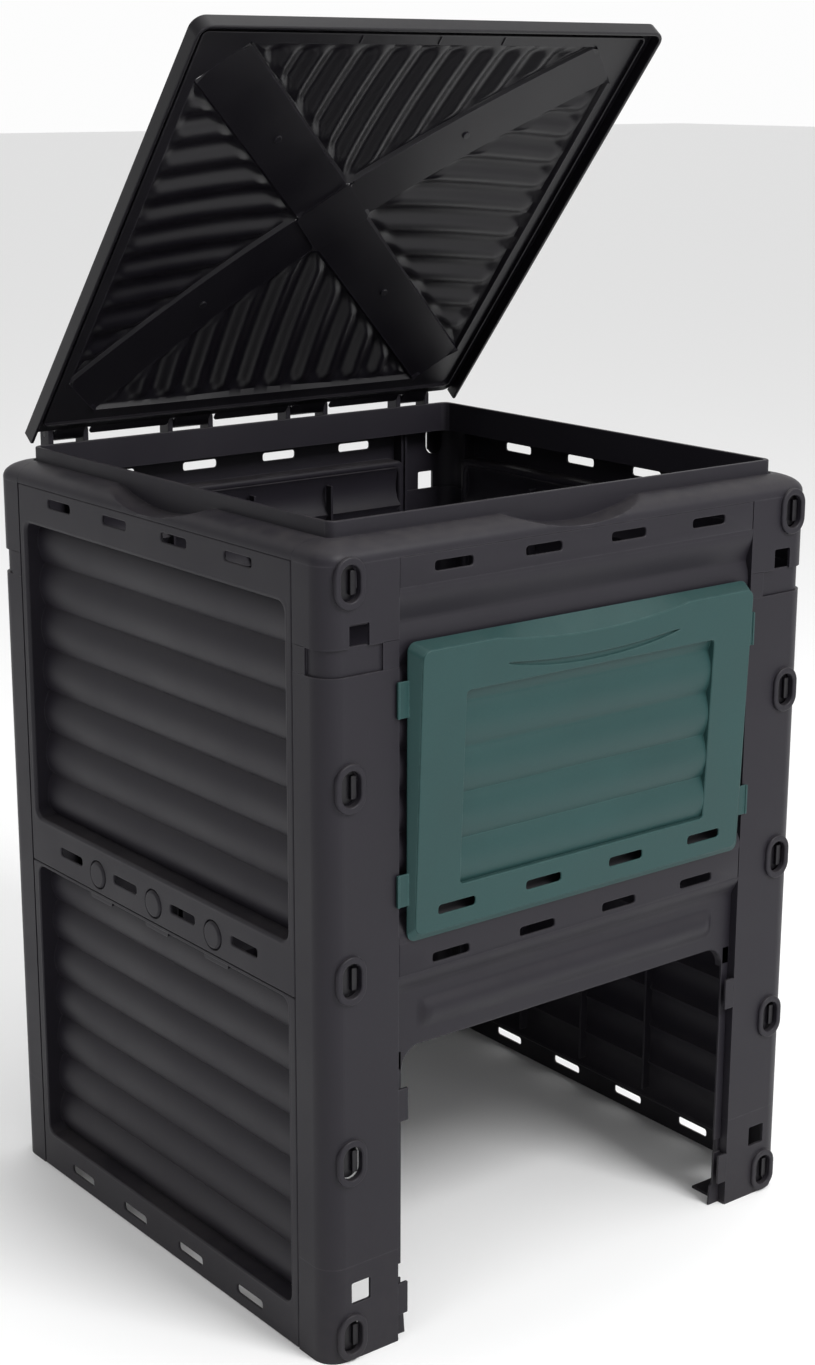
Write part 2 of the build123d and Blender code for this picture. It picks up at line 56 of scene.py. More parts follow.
def plastic_skin_group():
    """Grain, blotches, edge rub and dust that all of the mouldings share."""
    group = bpy.data.node_groups.new("Moulded skin", "ShaderNodeTree")
    sockets = (
        ("Colour", "NodeSocketColor", (0.05, 0.05, 0.05, 1)),
        ("Rubbed Colour", "NodeSocketColor", (0.1, 0.1, 0.1, 1)),
        ("Dust Colour", "NodeSocketColor", (0.2, 0.18, 0.15, 1)),
        ("Roughness", "NodeSocketFloat", 0.5),
        ("Grain", "NodeSocketFloat", 0.3),
        ("Dust", "NodeSocketFloat", 0.2),
        ("Edge Rub", "NodeSocketFloat", 0.4),
    )
    for name, kind, default in sockets:
        group.interface.new_socket(name, in_out="INPUT", socket_type=kind).default_value = default
    outputs = (
        ("Colour", "NodeSocketColor"), ("Roughness", "NodeSocketFloat"), ("Normal", "NodeSocketVector"),
    )
    for name, kind in outputs:
        group.interface.new_socket(name, in_out="OUTPUT", socket_type=kind)
    nodes = group.nodes
    link = group.links.new
    given = nodes.new("NodeGroupInput")
    result = nodes.new("NodeGroupOutput")
    place = nodes.new("ShaderNodeTexCoord")

    def noise(scale, detail, roughness):
        made = nodes.new("ShaderNodeTexNoise")
        link(place.outputs["Object"], made.inputs["Vector"])
        made.inputs["Scale"].default_value = scale
        made.inputs["Detail"].default_value = detail
        made.inputs["Roughness"].default_value = roughness
        return made.outputs["Fac"]

    def remap(value, low, high, out_low=0.0, out_high=1.0):
        made = nodes.new("ShaderNodeMapRange")
        link(value, made.inputs["Value"])
        sockets = ("From Min", "From Max", "To Min", "To Max")
        for socket, number in zip(sockets, (low, high, out_low, out_high)):
            made.inputs[socket].default_value = number
        return made.outputs["Result"]

    def math(kind, first, second):
        made = nodes.new("ShaderNodeMath")
        made.operation = kind
        for socket, value in zip(made.inputs, (first, second)):
            if isinstance(value, (int, float)):
                socket.default_value = value
            else:
                link(value, socket)
        return made.outputs[0]

    def blend(amount, under, over):
        made = nodes.new("ShaderNodeMix")
        made.data_type = "RGBA"
        link(amount, made.inputs["Factor"])
        link(under, made.inputs[6])
        link(over, made.inputs[7])
        return made.outputs[2]

    blotch = noise(9, 3, 0.55)
    streak = noise(70, 4, 0.6)
    grain = noise(1600, 2, 0.5)
    pores = noise(620, 3, 0.6)

    # Edges: where the rounded normal leaves the true one
    rounded = nodes.new("ShaderNodeBevel")
    rounded.samples = 4
    rounded.inputs["Radius"].default_value = 1.6 * MM
    surface = nodes.new("ShaderNodeNewGeometry")
    agree = nodes.new("ShaderNodeVectorMath")
    agree.operation = "DOT_PRODUCT"
    link(rounded.outputs["Normal"], agree.inputs[0])
    link(surface.outputs["Normal"], agree.inputs[1])
    edge = remap(agree.outputs["Value"], 0.995, 0.90)
    edge = math("MULTIPLY", edge, remap(streak, 0.35, 0.6, 0.35, 1.0))
    edge = math("MULTIPLY", edge, given.outputs["Edge Rub"])

    # Dust: on faces that look up, and splashed up from the ground
    tilt = nodes.new("ShaderNodeSeparateXYZ")
    link(surface.outputs["Normal"], tilt.inputs[0])
    height = nodes.new("ShaderNodeSeparateXYZ")
    link(place.outputs["Object"], height.inputs[0])
    upward = remap(tilt.outputs["Z"], 0.35, 0.95)
    low_down = remap(height.outputs["Z"], 0.16, 0.0)
    dust = math("MAXIMUM", upward, math("MULTIPLY", low_down, 0.55))
    dust = math("MULTIPLY", dust, remap(math("ADD", blotch, streak), 0.75, 1.25, 0.15, 1.0))
    dust = math("MULTIPLY", dust, given.outputs["Dust"])

    shade = nodes.new("ShaderNodeHueSaturation")
    link(given.outputs["Colour"], shade.inputs["Color"])
    value = math("ADD", remap(blotch, 0.3, 0.7, 0.92, 1.05), remap(pores, 0.3, 0.7, -0.05, 0.05))
    link(value, shade.inputs["Value"])
    colour = blend(edge, shade.outputs["Color"], given.outputs["Rubbed Colour"])
    colour = blend(dust, colour, given.outputs["Dust Colour"])
    link(colour, result.inputs["Colour"])

    rough = math("ADD", given.outputs["Roughness"], remap(blotch, 0.3, 0.7, -0.05, 0.06))
    rough = math("ADD", rough, math("MULTIPLY", dust, 0.3))
    rough = math("SUBTRACT", rough, math("MULTIPLY", edge, 0.12))
    link(rough, result.inputs["Roughness"])

    ripple = nodes.new("ShaderNodeBump")
    ripple.inputs["Distance"].default_value = 1.2 * MM
    ripple.inputs["Strength"].default_value = 0.10
    link(noise(26, 2, 0.5), ripple.inputs["Height"])
    tooth = nodes.new("ShaderNodeBump")
    tooth.inputs["Distance"].default_value = 0.25 * MM
    link(given.outputs["Grain"], tooth.inputs["Strength"])
    link(math("ADD", grain, math("MULTIPLY", pores, 0.8)), tooth.inputs["Height"])
    link(ripple.outputs["Normal"], tooth.inputs["Normal"])
    link(tooth.outputs["Normal"], result.inputs["Normal"])
    return group


MOULDED_SKIN = plastic_skin_group()


def moulded_plastic(name, colour, rubbed, roughness, grain, dust, rub, gloss):
    """One colour of moulding, on the shared skin."""
    made = bpy.data.materials.new(name)
    made.use_nodes = True
    tree = made.node_tree
    shader = tree.nodes["Principled BSDF"]
    shader.inputs["Specular IOR Level"].default_value = gloss
    skin = tree.nodes.new("ShaderNodeGroup")
    skin.node_tree = MOULDED_SKIN
    values = {
        "Colour": (*colour, 1),
        "Rubbed Colour": (*rubbed, 1),
        "Dust Colour": (0.115, 0.105, 0.095, 1),
        "Roughness": roughness,
        "Grain": grain,
        "Dust": dust,
        "Edge Rub": rub,
    }
    for socket, value in values.items():
        skin.inputs[socket].default_value = value
    tree.links.new(skin.outputs["Colour"], shader.inputs["Base Color"])
    tree.links.new(skin.outputs["Roughness"], shader.inputs["Roughness"])
    tree.links.new(skin.outputs["Normal"], shader.inputs["Normal"])
    return made


CHARCOAL = moulded_plastic(
    "Charcoal polypropylene", (0.0135, 0.0120, 0.0165), (0.050, 0.047, 0.055), 0.46, 0.35, 0.14, 0.5, 0.22
)
BLACK = moulded_plastic(
    "Black polypropylene", (0.0040, 0.0034, 0.0052), (0.022, 0.020, 0.026), 0.34, 0.25, 0.05, 0.5, 0.30
)
GREEN = moulded_plastic(
    "Green polypropylene", (0.017, 0.050, 0.049), (0.060, 0.125, 0.122), 0.44, 0.30, 0.08, 0.5, 0.22
)

# Wall panels.
# Each wall is two thin-skinned mouldings snapped one on the other: a proud frame with rows of
# vents round a sunken wavy field. They are held at their sides by the corner mouldings.
FRONT_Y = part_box("front_upper_panel")[0].y
BACK_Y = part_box("back_upper_panel")[1].y
LEFT_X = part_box("left_upper_panel")[0].x
RIGHT_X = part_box("right_upper_panel")[1].x
MID_Y = (FRONT_Y + BACK_Y) / 2
SIDE_HALF = BACK_Y - MID_Y
SPLIT_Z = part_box("front_upper_panel")[0].z
RIM_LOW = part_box("front_upper_panel")[1].z
POST_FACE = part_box("front_upper_panel")[1].x
POST_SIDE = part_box("left_upper_panel")[1].y - MID_Y

SKIN = 3 * MM
EDGE = 1.3 * MM
FIELD_STRIP = 12 * MM
FIELD_ROUND = 10 * MM
FIELD_DEPTH = 18 * MM
FRONT_DEPTH = 9 * MM
FIELD_SWELL = 3.6 * MM
FIELD_WAVES = 7
UPPER_FIELD = (409 * MM, 726 * MM)
LOWER_FIELD = (42 * MM, 354 * MM)
VENT_PITCH = 106.6 * MM
VENTS = [(i - 1.5) * VENT_PITCH for i in range(4)]
VENT_HALF = (22 * MM, 4.5 * MM)
VENT_ROUND = 3 * MM
TOP_VENTS = 753 * MM
SPLIT_VENTS = 382.6 * MM
FOOT_VENTS = 17 * MM
STUD_Z = 378 * MM
STUD_ROUND = 14 * MM
SIDE_GAP = 0.9 * MM
LEVEL_GAP = 0.25 * MM
LIP_REACH = 2.3
UPPER_ROLL = 3.5 * MM
LOWER_ROLL = 1.75 * MM
RIB_DEPTH = 10 * MM


def wall_plane(x, y, along, out):
    """Turns (along the wall, up, out of the bin) into the bin's own directions."""
    return Matrix(((along[0], 0, out[0], x), (along[1], 0, out[1], y), (0, 1, 0, 0), (0, 0, 0, 1)))


WALLS = {
    "front": wall_plane(0, FRONT_Y, (1, 0), (0, -1)),
    "back": wall_plane(0, BACK_Y, (-1, 0), (0, 1)),
    "left": wall_plane(LEFT_X, MID_Y, (0, -1), (-1, 0)),
    "right": wall_plane(RIGHT_X, MID_Y, (0, 1), (1, 0)),
}


def rounded_box(mid_x, mid_y, half_x, half_y, round_, steps=7):
    """Outline of a rectangle with rounded corners."""
    corners = ((1, 1, 0), (-1, 1, 90), (-1, -1, 180), (1, -1, 270))
    outline = []
    for sign_x, sign_y, start in corners:
        for i in range(steps):
            turn = radians(start + 90 * i / (steps - 1))
            outline.append((
                mid_x + sign_x * (half_x - round_) + round_ * cos(turn),
                mid_y + sign_y * (half_y - round_) + round_ * sin(turn),
            ))
    return outline


def moulded_plate(outline, holes, back, front, edge=EDGE, steps=2):
    """A flat plate with holes and rounded edges, lying in its own plane."""
    curve = bpy.data.curves.new("outline", "CURVE")
    curve.dimensions = "2D"
    curve.fill_mode = "BOTH"
    for loop in (outline, *holes):
        spline = curve.splines.new("POLY")
        spline.points.add(len(loop) - 1)
        for point, (x, y) in zip(spline.points, loop):
            point.co = (x, y, 0, 1)
        spline.use_cyclic_u = True
    curve.extrude = max((front - back) / 2 - edge, 0)
    curve.bevel_depth = edge
    curve.bevel_resolution = steps
    curve.offset = -edge
    holder = bpy.data.objects.new("outline", curve)
    bpy.context.scene.collection.objects.link(holder)
    solid = bpy.data.meshes.new_from_object(holder.evaluated_get(bpy.context.evaluated_depsgraph_get()))
    bpy.data.objects.remove(holder)
    bpy.data.curves.remove(curve)
    solid.transform(Matrix.Translation((0, 0, (front + back) / 2)))
    return solid


def wavy_floor_tree():
    """Rows of soft lobes with narrow valleys between them, across a field."""
    tree = bpy.data.node_groups.new("Wavy floor", "GeometryNodeTree")
    for name in ("Half Width", "Low", "High", "Out At Low", "Out At High", "Swell", "Waves"):
        tree.interface.new_socket(name, in_out="INPUT", socket_type="NodeSocketFloat")
    tree.interface.new_socket("Rows", in_out="INPUT", socket_type="NodeSocketInt")
    tree.interface.new_socket("Plastic", in_out="INPUT", socket_type="NodeSocketMaterial")
    tree.interface.new_socket("Geometry", in_out="OUTPUT", socket_type="NodeSocketGeometry")
    link = tree.links.new
    given = tree.nodes.new("NodeGroupInput").outputs

    def math(kind, first, second=0.0):
        made = tree.nodes.new("ShaderNodeMath")
        made.operation = kind
        for socket, value in zip(made.inputs, (first, second)):
            if isinstance(value, (int, float)):
                socket.default_value = value
            else:
                link(value, socket)
        return made.outputs[0]

    tall = math("SUBTRACT", given["High"], given["Low"])
    sheet = tree.nodes.new("GeometryNodeMeshGrid")
    link(math("MULTIPLY", given["Half Width"], 2), sheet.inputs["Size X"])
    link(tall, sheet.inputs["Size Y"])
    sheet.inputs["Vertices X"].default_value = 3
    link(given["Rows"], sheet.inputs["Vertices Y"])
    where = tree.nodes.new("ShaderNodeSeparateXYZ")
    link(tree.nodes.new("GeometryNodeInputPosition").outputs[0], where.inputs[0])
    share = math("ADD", math("DIVIDE", where.outputs["Y"], tall), 0.5)
    lobe = math("ABSOLUTE", math("SINE", math("MULTIPLY", math("MULTIPLY", share, given["Waves"]), pi)))
    lobe = math("SUBTRACT", math("MULTIPLY", math("POWER", lobe, 0.8), 2), 1)
    lean = math("MULTIPLY", share, math("SUBTRACT", given["Out At High"], given["Out At Low"]))
    out = math("ADD", math("ADD", given["Out At Low"], lean), math("MULTIPLY", lobe, given["Swell"]))
    spot = tree.nodes.new("ShaderNodeCombineXYZ")
    link(where.outputs["X"], spot.inputs["X"])
    link(math("ADD", given["Low"], math("MULTIPLY", share, tall)), spot.inputs["Y"])
    link(out, spot.inputs["Z"])
    lay = tree.nodes.new("GeometryNodeSetPosition")
    link(sheet.outputs["Mesh"], lay.inputs["Geometry"])
    link(spot.outputs[0], lay.inputs["Position"])
    real = tree.nodes.new("GeometryNodeRealizeInstances")
    link(lay.outputs["Geometry"], real.inputs["Geometry"])
    paint = tree.nodes.new("GeometryNodeSetMaterial")
    link(real.outputs["Geometry"], paint.inputs["Geometry"])
    link(given["Plastic"], paint.inputs["Material"])
    link(paint.outputs["Geometry"], tree.nodes.new("NodeGroupOutput").inputs[0])
    return tree


WAVY_FLOOR = wavy_floor_tree()


def grown(tree, seed_mesh, **values):
    """The plain mesh that a tree makes with these named inputs."""
    holder = bpy.data.objects.new("seed", seed_mesh or bpy.data.meshes.new("seed"))
    bpy.context.scene.collection.objects.link(holder)
    modifier = holder.modifiers.new("Grow", "NODES")
    modifier.node_group = tree
    for socket in tree.interface.items_tree:
        key = socket.name.replace(" ", "_").lower()
        if socket.in_out == "INPUT" and key in values:
            modifier[socket.identifier] = values[key]
    mesh = bpy.data.meshes.new_from_object(holder.evaluated_get(bpy.context.evaluated_depsgraph_get()))
    bpy.data.objects.remove(holder)
    return mesh


def thickened(mesh, thickness):
    """The same sheet as a closed shell, grown against its normals."""
    shell = bmesh.new()
    shell.from_mesh(mesh)
    bmesh.ops.solidify(shell, geom=shell.faces[:], thickness=thickness)
    bmesh.ops.recalc_face_normals(shell, faces=shell.faces[:])
    shell.to_mesh(mesh)
    shell.free()
    return mesh


def wavy_floor(half, low, high, out_low, out_high, swell, waves, plastic, thickness=2.7 * MM):
    """Floor of a sunken field, as a closed sheet."""
    sheet = grown(
        WAVY_FLOOR, None, half_width=half, low=low, high=high, out_at_low=out_low, out_at_high=out_high,
        swell=swell, waves=float(waves), rows=int(waves * 22) + 1, plastic=plastic,
    )
    return thickened(sheet, thickness)


def piece(name, shells, place, plastic, body, nodes, sharp=38):
    """Join a moulding's shells, put it in its place, hang it from its body and hide the CAD nodes it stands
    in for.
    """
    whole = bmesh.new()
    for shell in shells:
        whole.from_mesh(shell)
        bpy.data.meshes.remove(shell)
    bmesh.ops.remove_doubles(whole, verts=whole.verts[:], dist=1e-6)
    loose = [v for v in whole.verts if not v.link_faces]
    bmesh.ops.delete(whole, geom=loose, context="VERTS")
    mesh = bpy.data.meshes.new(name)
    whole.to_mesh(mesh)
    whole.free()
    mesh.transform(place)
    mesh.polygons.foreach_set("use_smooth", [True] * len(mesh.polygons))
    mesh.set_sharp_from_angle(angle=radians(sharp))
    mesh.materials.clear()
    mesh.materials.append(plastic)
    mesh.polygons.foreach_set("material_index", [0] * len(mesh.polygons))
    raw = bpy.data.objects.new("raw", mesh)
    bpy.context.scene.collection.objects.link(raw)
    even = raw.modifiers.new("Even shading", "WEIGHTED_NORMAL")
    even.keep_sharp = True
    even.weight = 80
    final = bpy.data.meshes.new_from_object(raw.evaluated_get(bpy.context.evaluated_depsgraph_get()))
    bpy.data.objects.remove(raw)
    final.name = name
    made = bpy.data.objects.new(name, final)
    bpy.context.scene.collection.objects.link(made)
    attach(made, body)
    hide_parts(*nodes)
    return made


def vents(row):
    return [rounded_box(x, row, *VENT_HALF, VENT_ROUND, 5) for x in VENTS]


def disc(x, y, round_, steps=40):
    turns = [2 * pi * i / steps for i in range(steps)]
    return [(x + round_ * cos(turn), y + round_ * sin(turn)) for turn in turns]


def profile_sheet(name, columns, profile, thickness):
    """A thin closed sheet: its outline at every column is a run of (height, out)."""
    sheet = bmesh.new()
    grid = [[sheet.verts.new((x, *spot)) for spot in profile(x)] for x in columns]
    for near, far in zip(grid, grid[1:]):
        for i in range(len(near) - 1):
            sheet.faces.new((near[i], far[i], far[i + 1], near[i + 1]))
    mesh = bpy.data.meshes.new(name)
    sheet.to_mesh(mesh)
    sheet.free()
    return thickened(mesh, thickness)


def eased(share):
    share = min(max(share, 0), 1)
    return share * share * (3 - 2 * share)


def side_flanges(half, low, high, front, back):
    """Upright flanges that meet the corner mouldings."""
    mid, tall = (low + high) / 2, (high - low) / 2
    outlines = [rounded_box(side * (half - SKIN / 2), mid, SKIN / 2, tall, 0.4 * MM, 2) for side in (-1, 1)]
    return [moulded_plate(outline, [], back, front, 0.4 * MM, 1) for outline in outlines]


def inner_ribs(field, depth):
    """Three upright ribs behind the field."""
    front = -depth - FIELD_SWELL
    mid, tall = sum(field) / 2, (field[1] - field[0]) / 2 - FIELD_ROUND
    outlines = [rounded_box(x, mid, SKIN / 2, tall, 0.5 * MM, 2) for x in (-VENT_PITCH, 0, VENT_PITCH)]
    return [moulded_plate(outline, [], front - RIB_DEPTH, front, 0.5 * MM, 1) for outline in outlines]


def panel_shells(half, low, high, field, rows, studs, roll):
    """Shells of one wall panel: skin, rolled mouth and floor of its field, ribs, flanges, studs."""
    field_half = half - FIELD_STRIP
    field_mid = sum(field) / 2
    field_tall = (field[1] - field[0]) / 2
    mouth = rounded_box(0, field_mid, field_half, field_tall, FIELD_ROUND)
    opening = rounded_box(0, field_mid, field_half + roll, field_tall + roll, FIELD_ROUND + roll)
    reach = LIP_REACH * roll
    lip_high = min(field[1] + reach, high - 0.3 * MM)
    lip_low = field[0] - reach
    lip = rounded_box(0, (lip_high + lip_low) / 2, field_half + reach, (lip_high - lip_low) / 2, FIELD_ROUND)
    holes = [opening] + [hole for row in rows for hole in vents(row)]
    if studs == "holes":
        holes += [disc(x, STUD_Z, STUD_ROUND + 1 * MM) for x in (-VENT_PITCH, 0, VENT_PITCH)]
    edge = rounded_box(0, (low + high) / 2, half - SIDE_GAP, (high - low) / 2 - LEVEL_GAP, 1.5 * MM, 3)
    shells = [
        moulded_plate(edge, holes, -SKIN, 0),
        moulded_plate(lip, [mouth], -FIELD_DEPTH - 2 * SKIN, 0.05 * MM, roll, 5),
        wavy_floor(
            field_half + SKIN / 2, field[0] - SKIN / 2, field[1] + SKIN / 2, -FIELD_DEPTH, -FIELD_DEPTH,
            FIELD_SWELL, FIELD_WAVES, CHARCOAL,
        ),
    ]
    shells += inner_ribs(field, FIELD_DEPTH)
    shells += side_flanges(half - SIDE_GAP, low, high, -2 * EDGE, -FIELD_DEPTH)
    if studs == "pegs":
        for x in (-VENT_PITCH, 0, VENT_PITCH):
            tongue = rounded_box(x, high + 12 * MM, 21 * MM, 22 * MM, 3 * MM, 4)
            shells.append(moulded_plate(tongue, [], -2.2 * SKIN, -SKIN - 0.3 * MM, 0.5 * MM, 1))
            shells.append(moulded_plate(disc(x, STUD_Z, STUD_ROUND), [], -2 * SKIN, 1.5 * MM, 3.2 * MM, 6))
    return shells


for wall, half in (("left", POST_SIDE), ("right", POST_SIDE), ("back", POST_FACE)):
    upper, lower = f"{wall}_upper_panel", f"{wall}_lower_panel"
    shells = panel_shells(half, SPLIT_Z, RIM_LOW, UPPER_FIELD, (TOP_VENTS, SPLIT_VENTS), "holes", UPPER_ROLL)
    piece(f"{wall}_upper_wall", shells, WALLS[wall], CHARCOAL, "bin", [upper])
    shells = panel_shells(half, 0, SPLIT_Z, LOWER_FIELD, (FOOT_VENTS,), "pegs", LOWER_ROLL)
    piece(f"{wall}_lower_wall", shells, WALLS[wall], CHARCOAL, "bin", [lower])

# Front wall above the doorway.
# Its field runs right across between the posts and is sunk less deep. The bands above and below
# roll softly into it, with no edge.
ROLL_TOP = (700 * MM, 734 * MM)
ROLL_FOOT = (350 * MM, 372 * MM)
HEADER_IN = -FRONT_DEPTH
FRONT_FOOT = (UPPER_FIELD[0] + 2 * MM, UPPER_FIELD[0] + 22 * MM)
FRONT_WAVES_TOP = ROLL_TOP[0] + 6 * MM
FRONT_SWELL = 5 * MM
LAP = 0.05 * MM


def front_out(height):
    """How far out the front wall's skin stands at a height between its two bands."""
    top = eased((height - ROLL_TOP[0]) / (ROLL_TOP[1] - ROLL_TOP[0]))
    foot = eased((FRONT_FOOT[1] - height) / (FRONT_FOOT[1] - FRONT_FOOT[0]))
    share = (FRONT_WAVES_TOP - height) / (FRONT_WAVES_TOP - FRONT_FOOT[1])
    lobe = abs(sin(pi * FIELD_WAVES * share)) ** 0.8 if 0 < share < 1 else 0
    return -FRONT_DEPTH * (1 - max(top, foot)) + FRONT_SWELL * lobe * (1 - top) + LAP


def roll_foot_out(height):
    """How far out the skin stands where the lower band rolls in to the lintel."""
    return HEADER_IN * (1 - eased((height - ROLL_FOOT[0]) / (ROLL_FOOT[1] - ROLL_FOOT[0])))


def level_columns(half, count):
    return [half * (2 * i / count - 1) for i in range(count + 1)]


def rows_between(low, high, step):
    count = round((high - low) / step)
    return [low + (high - low) * i / count for i in range(count + 1)]


inside = POST_FACE - 0.4 * MM
field_rows = rows_between(UPPER_FIELD[0] - 4 * MM, ROLL_TOP[1] + 4 * MM, 2 * MM)
foot_rows = rows_between(SPLIT_Z, ROLL_FOOT[1] + 1 * MM, 1 * MM)
top_band = rounded_box(0, (RIM_LOW + ROLL_TOP[1]) / 2, inside, (RIM_LOW - ROLL_TOP[1]) / 2, 1 * MM, 3)
foot_band = rounded_box(0, (ROLL_FOOT[1] + UPPER_FIELD[0]) / 2, inside, (UPPER_FIELD[0] - ROLL_FOOT[1]) / 2,
                        1 * MM, 3)
shells = [
    moulded_plate(top_band, vents(TOP_VENTS), -SKIN, 0),
    moulded_plate(foot_band, vents(SPLIT_VENTS), -SKIN, 0),
    profile_sheet("front_field", level_columns(inside, 8),
                  lambda x: [(z, front_out(z)) for z in field_rows], 2.6 * MM),
    profile_sheet("front_foot", level_columns(inside, 8),
                  lambda x: [(z, roll_foot_out(z) + 0.8 * LAP) for z in foot_rows], 2.6 * MM),
]
shells += inner_ribs(UPPER_FIELD, FRONT_DEPTH)
shells += side_flanges(POST_FACE, SPLIT_Z, RIM_LOW, -FRONT_DEPTH - 3 * MM, -FRONT_DEPTH - FIELD_DEPTH)
piece("front_upper_wall", shells, WALLS["front"], CHARCOAL, "bin", ["front_upper_panel"])

# Doorway: header and jambs.
# The lintel over the doorway is a sunken moulding with one soft wave, rounded corners and a
# lip rolled back into the bin. The jambs are flat strips sunk as deep, each with a heel.
DOORWAY_TOP = 295 * MM
DOORWAY_HALF = 212 * MM
DOORWAY_ROUND = 22 * MM
HEADER_WAVE = (311 * MM, 343 * MM)
HEADER_WAVE_HALF = 195 * MM
HEADER_SWELL = 6 * MM
HEADER_FADE = 14 * MM
HEADER_LIP = [(0, -9 * MM), (0, -4 * MM), (0.3 * MM, -2 * MM), (1 * MM, -0.8 * MM), (2.2 * MM, -0.2 * MM)]
LIP_TOP = 3.5 * MM
HEADER_ROWS = round((SPLIT_Z - DOORWAY_TOP - LIP_TOP) / (1.4 * MM))
BEND_IN = -186 * MM


def header_profile(x):
    """Heights and depths of the lintel at one column, from its rolled lip up to the band."""
    into = min(max(abs(x) - (DOORWAY_HALF - DOORWAY_ROUND), 0), DOORWAY_ROUND)
    foot = DOORWAY_TOP - DOORWAY_ROUND + sqrt(DOORWAY_ROUND**2 - into**2)
    along = eased((HEADER_WAVE_HALF - abs(x)) / HEADER_FADE)
    spots = [(foot + up, HEADER_IN + out) for up, out in HEADER_LIP]
    low = foot + LIP_TOP
    for i in range(HEADER_ROWS + 1):
        height = low + (SPLIT_Z - low) * i / HEADER_ROWS
        share = (height - HEADER_WAVE[0]) / (HEADER_WAVE[1] - HEADER_WAVE[0])
        lobe = sin(pi * share) ** 1.3 if 0 < share < 1 else 0
        spots.append((height, roll_foot_out(height) + HEADER_SWELL * lobe * along))
    return spots


columns = rows_between(-inside, -DOORWAY_HALF, 2 * MM) + rows_between(-DOORWAY_HALF, BEND_IN, 0.6 * MM)[1:]
columns += rows_between(BEND_IN, -BEND_IN, 4 * MM)[1:-1]
columns += [-x for x in reversed(columns) if x <= BEND_IN]
shells = [profile_sheet("header", columns, header_profile, 2.4 * MM)]
shells += side_flanges(POST_FACE, DOORWAY_TOP, SPLIT_Z, HEADER_IN - 3 * MM, -FIELD_DEPTH - SKIN)
piece("doorway_header", shells, WALLS["front"], CHARCOAL, "bin", ["front_header"])

NOTCH = (60 * MM, 75 * MM)
HEEL_IN = 207 * MM
HEEL_TOP = 24 * MM
for side, hand in (("left", -1), ("right", 1)):
    foot = [
        (POST_FACE, 0), (POST_FACE, NOTCH[0]), (DOORWAY_HALF, NOTCH[0]), (DOORWAY_HALF, HEEL_TOP + 3 * MM),
        (DOORWAY_HALF - 1 * MM, HEEL_TOP), (HEEL_IN + 1.5 * MM, HEEL_TOP - 2 * MM), (HEEL_IN, 2 * MM),
        (HEEL_IN, 0),
    ]
    upper = [
        (POST_FACE, NOTCH[1]), (POST_FACE, DOORWAY_TOP),
        (DOORWAY_HALF, DOORWAY_TOP), (DOORWAY_HALF, NOTCH[1]),
    ]
    shells = []
    for outline in (foot, upper):
        turned = [(hand * (x - 0.2 * MM), z) for x, z in outline]
        shells.append(moulded_plate(turned, [], HEADER_IN - SKIN, HEADER_IN, 0.9 * MM, 3))
    web = rounded_box(hand * (POST_FACE - SKIN / 2), DOORWAY_TOP / 2, SKIN / 2, DOORWAY_TOP / 2, 0.5 * MM, 2)
    shells.append(moulded_plate(web, [], HEADER_IN - 3 * SKIN, HEADER_IN - 0.8 * SKIN, 0.5 * MM, 1))
    piece(f"doorway_jamb_{side}", shells, WALLS["front"], CHARCOAL, "bin", [f"front_jamb_{side}"])

# Door ears.
# Four short ears stand out from the posts over the sunken jambs, level with the posts' faces.
# The door's tabs pass in front of them. They are moulded with the posts.
EAR_IN = 210.5 * MM
STEM_HALF = 0.9 * MM
EARS = [(27 * MM, 60 * MM), (228 * MM, 261 * MM)]
shells = []
for hand in (-1, 1):
    for low, high in EARS:
        mid, tall = (low + high) / 2, (high - low) / 2
        half = (POST_FACE - EAR_IN) / 2 + 0.3 * MM
        ear = rounded_box(hand * (EAR_IN + POST_FACE) / 2, mid, half, tall, 1.2 * MM, 4)
        shells.append(moulded_plate(ear, [], -SKIN, 0, 0.8 * MM, 3))
        stem = rounded_box(hand * (POST_FACE - STEM_HALF), mid, STEM_HALF, tall - 2 * MM, 0.4 * MM, 2)
        shells.append(moulded_plate(stem, [], HEADER_IN + 0.5 * MM, -0.6 * SKIN, 0.3 * MM, 1))
piece("door_ears", shells, WALLS["front"], CHARCOAL, "bin", ["door_clips"])

# Corner mouldings.
# Foot, post and cap wrap each corner. Key holes with raised rings run up their front or back
# face, square drain holes sit near both ends, and the cap's neck leaves a groove over the post.
CORNER_ROUND = 22 * MM
FOOT_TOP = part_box("front_left_foot")[1].z
POST_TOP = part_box("front_left_post")[1].z
CAP_LOW = POST_TOP + 25 * MM
KEY_X = 277 * MM
KEY_ROWS = {"foot": (25,), "post": (204, 384, 565), "cap": (750,)}
SQUARE_X = 266 * MM
SQUARES = {"foot": 69 * MM, "cap": 702 * MM}
POST_RETURN = 20 * MM
NECK = (240 * MM, 262 * MM)
NECK_DEPTH = 2.6 * MM
POST_GAP = 0.7 * MM
KEY_HOLE = (33 * MM, 21 * MM)
KEY_RING = (47 * MM, 33 * MM)
CUT_DEPTH = 10 * MM


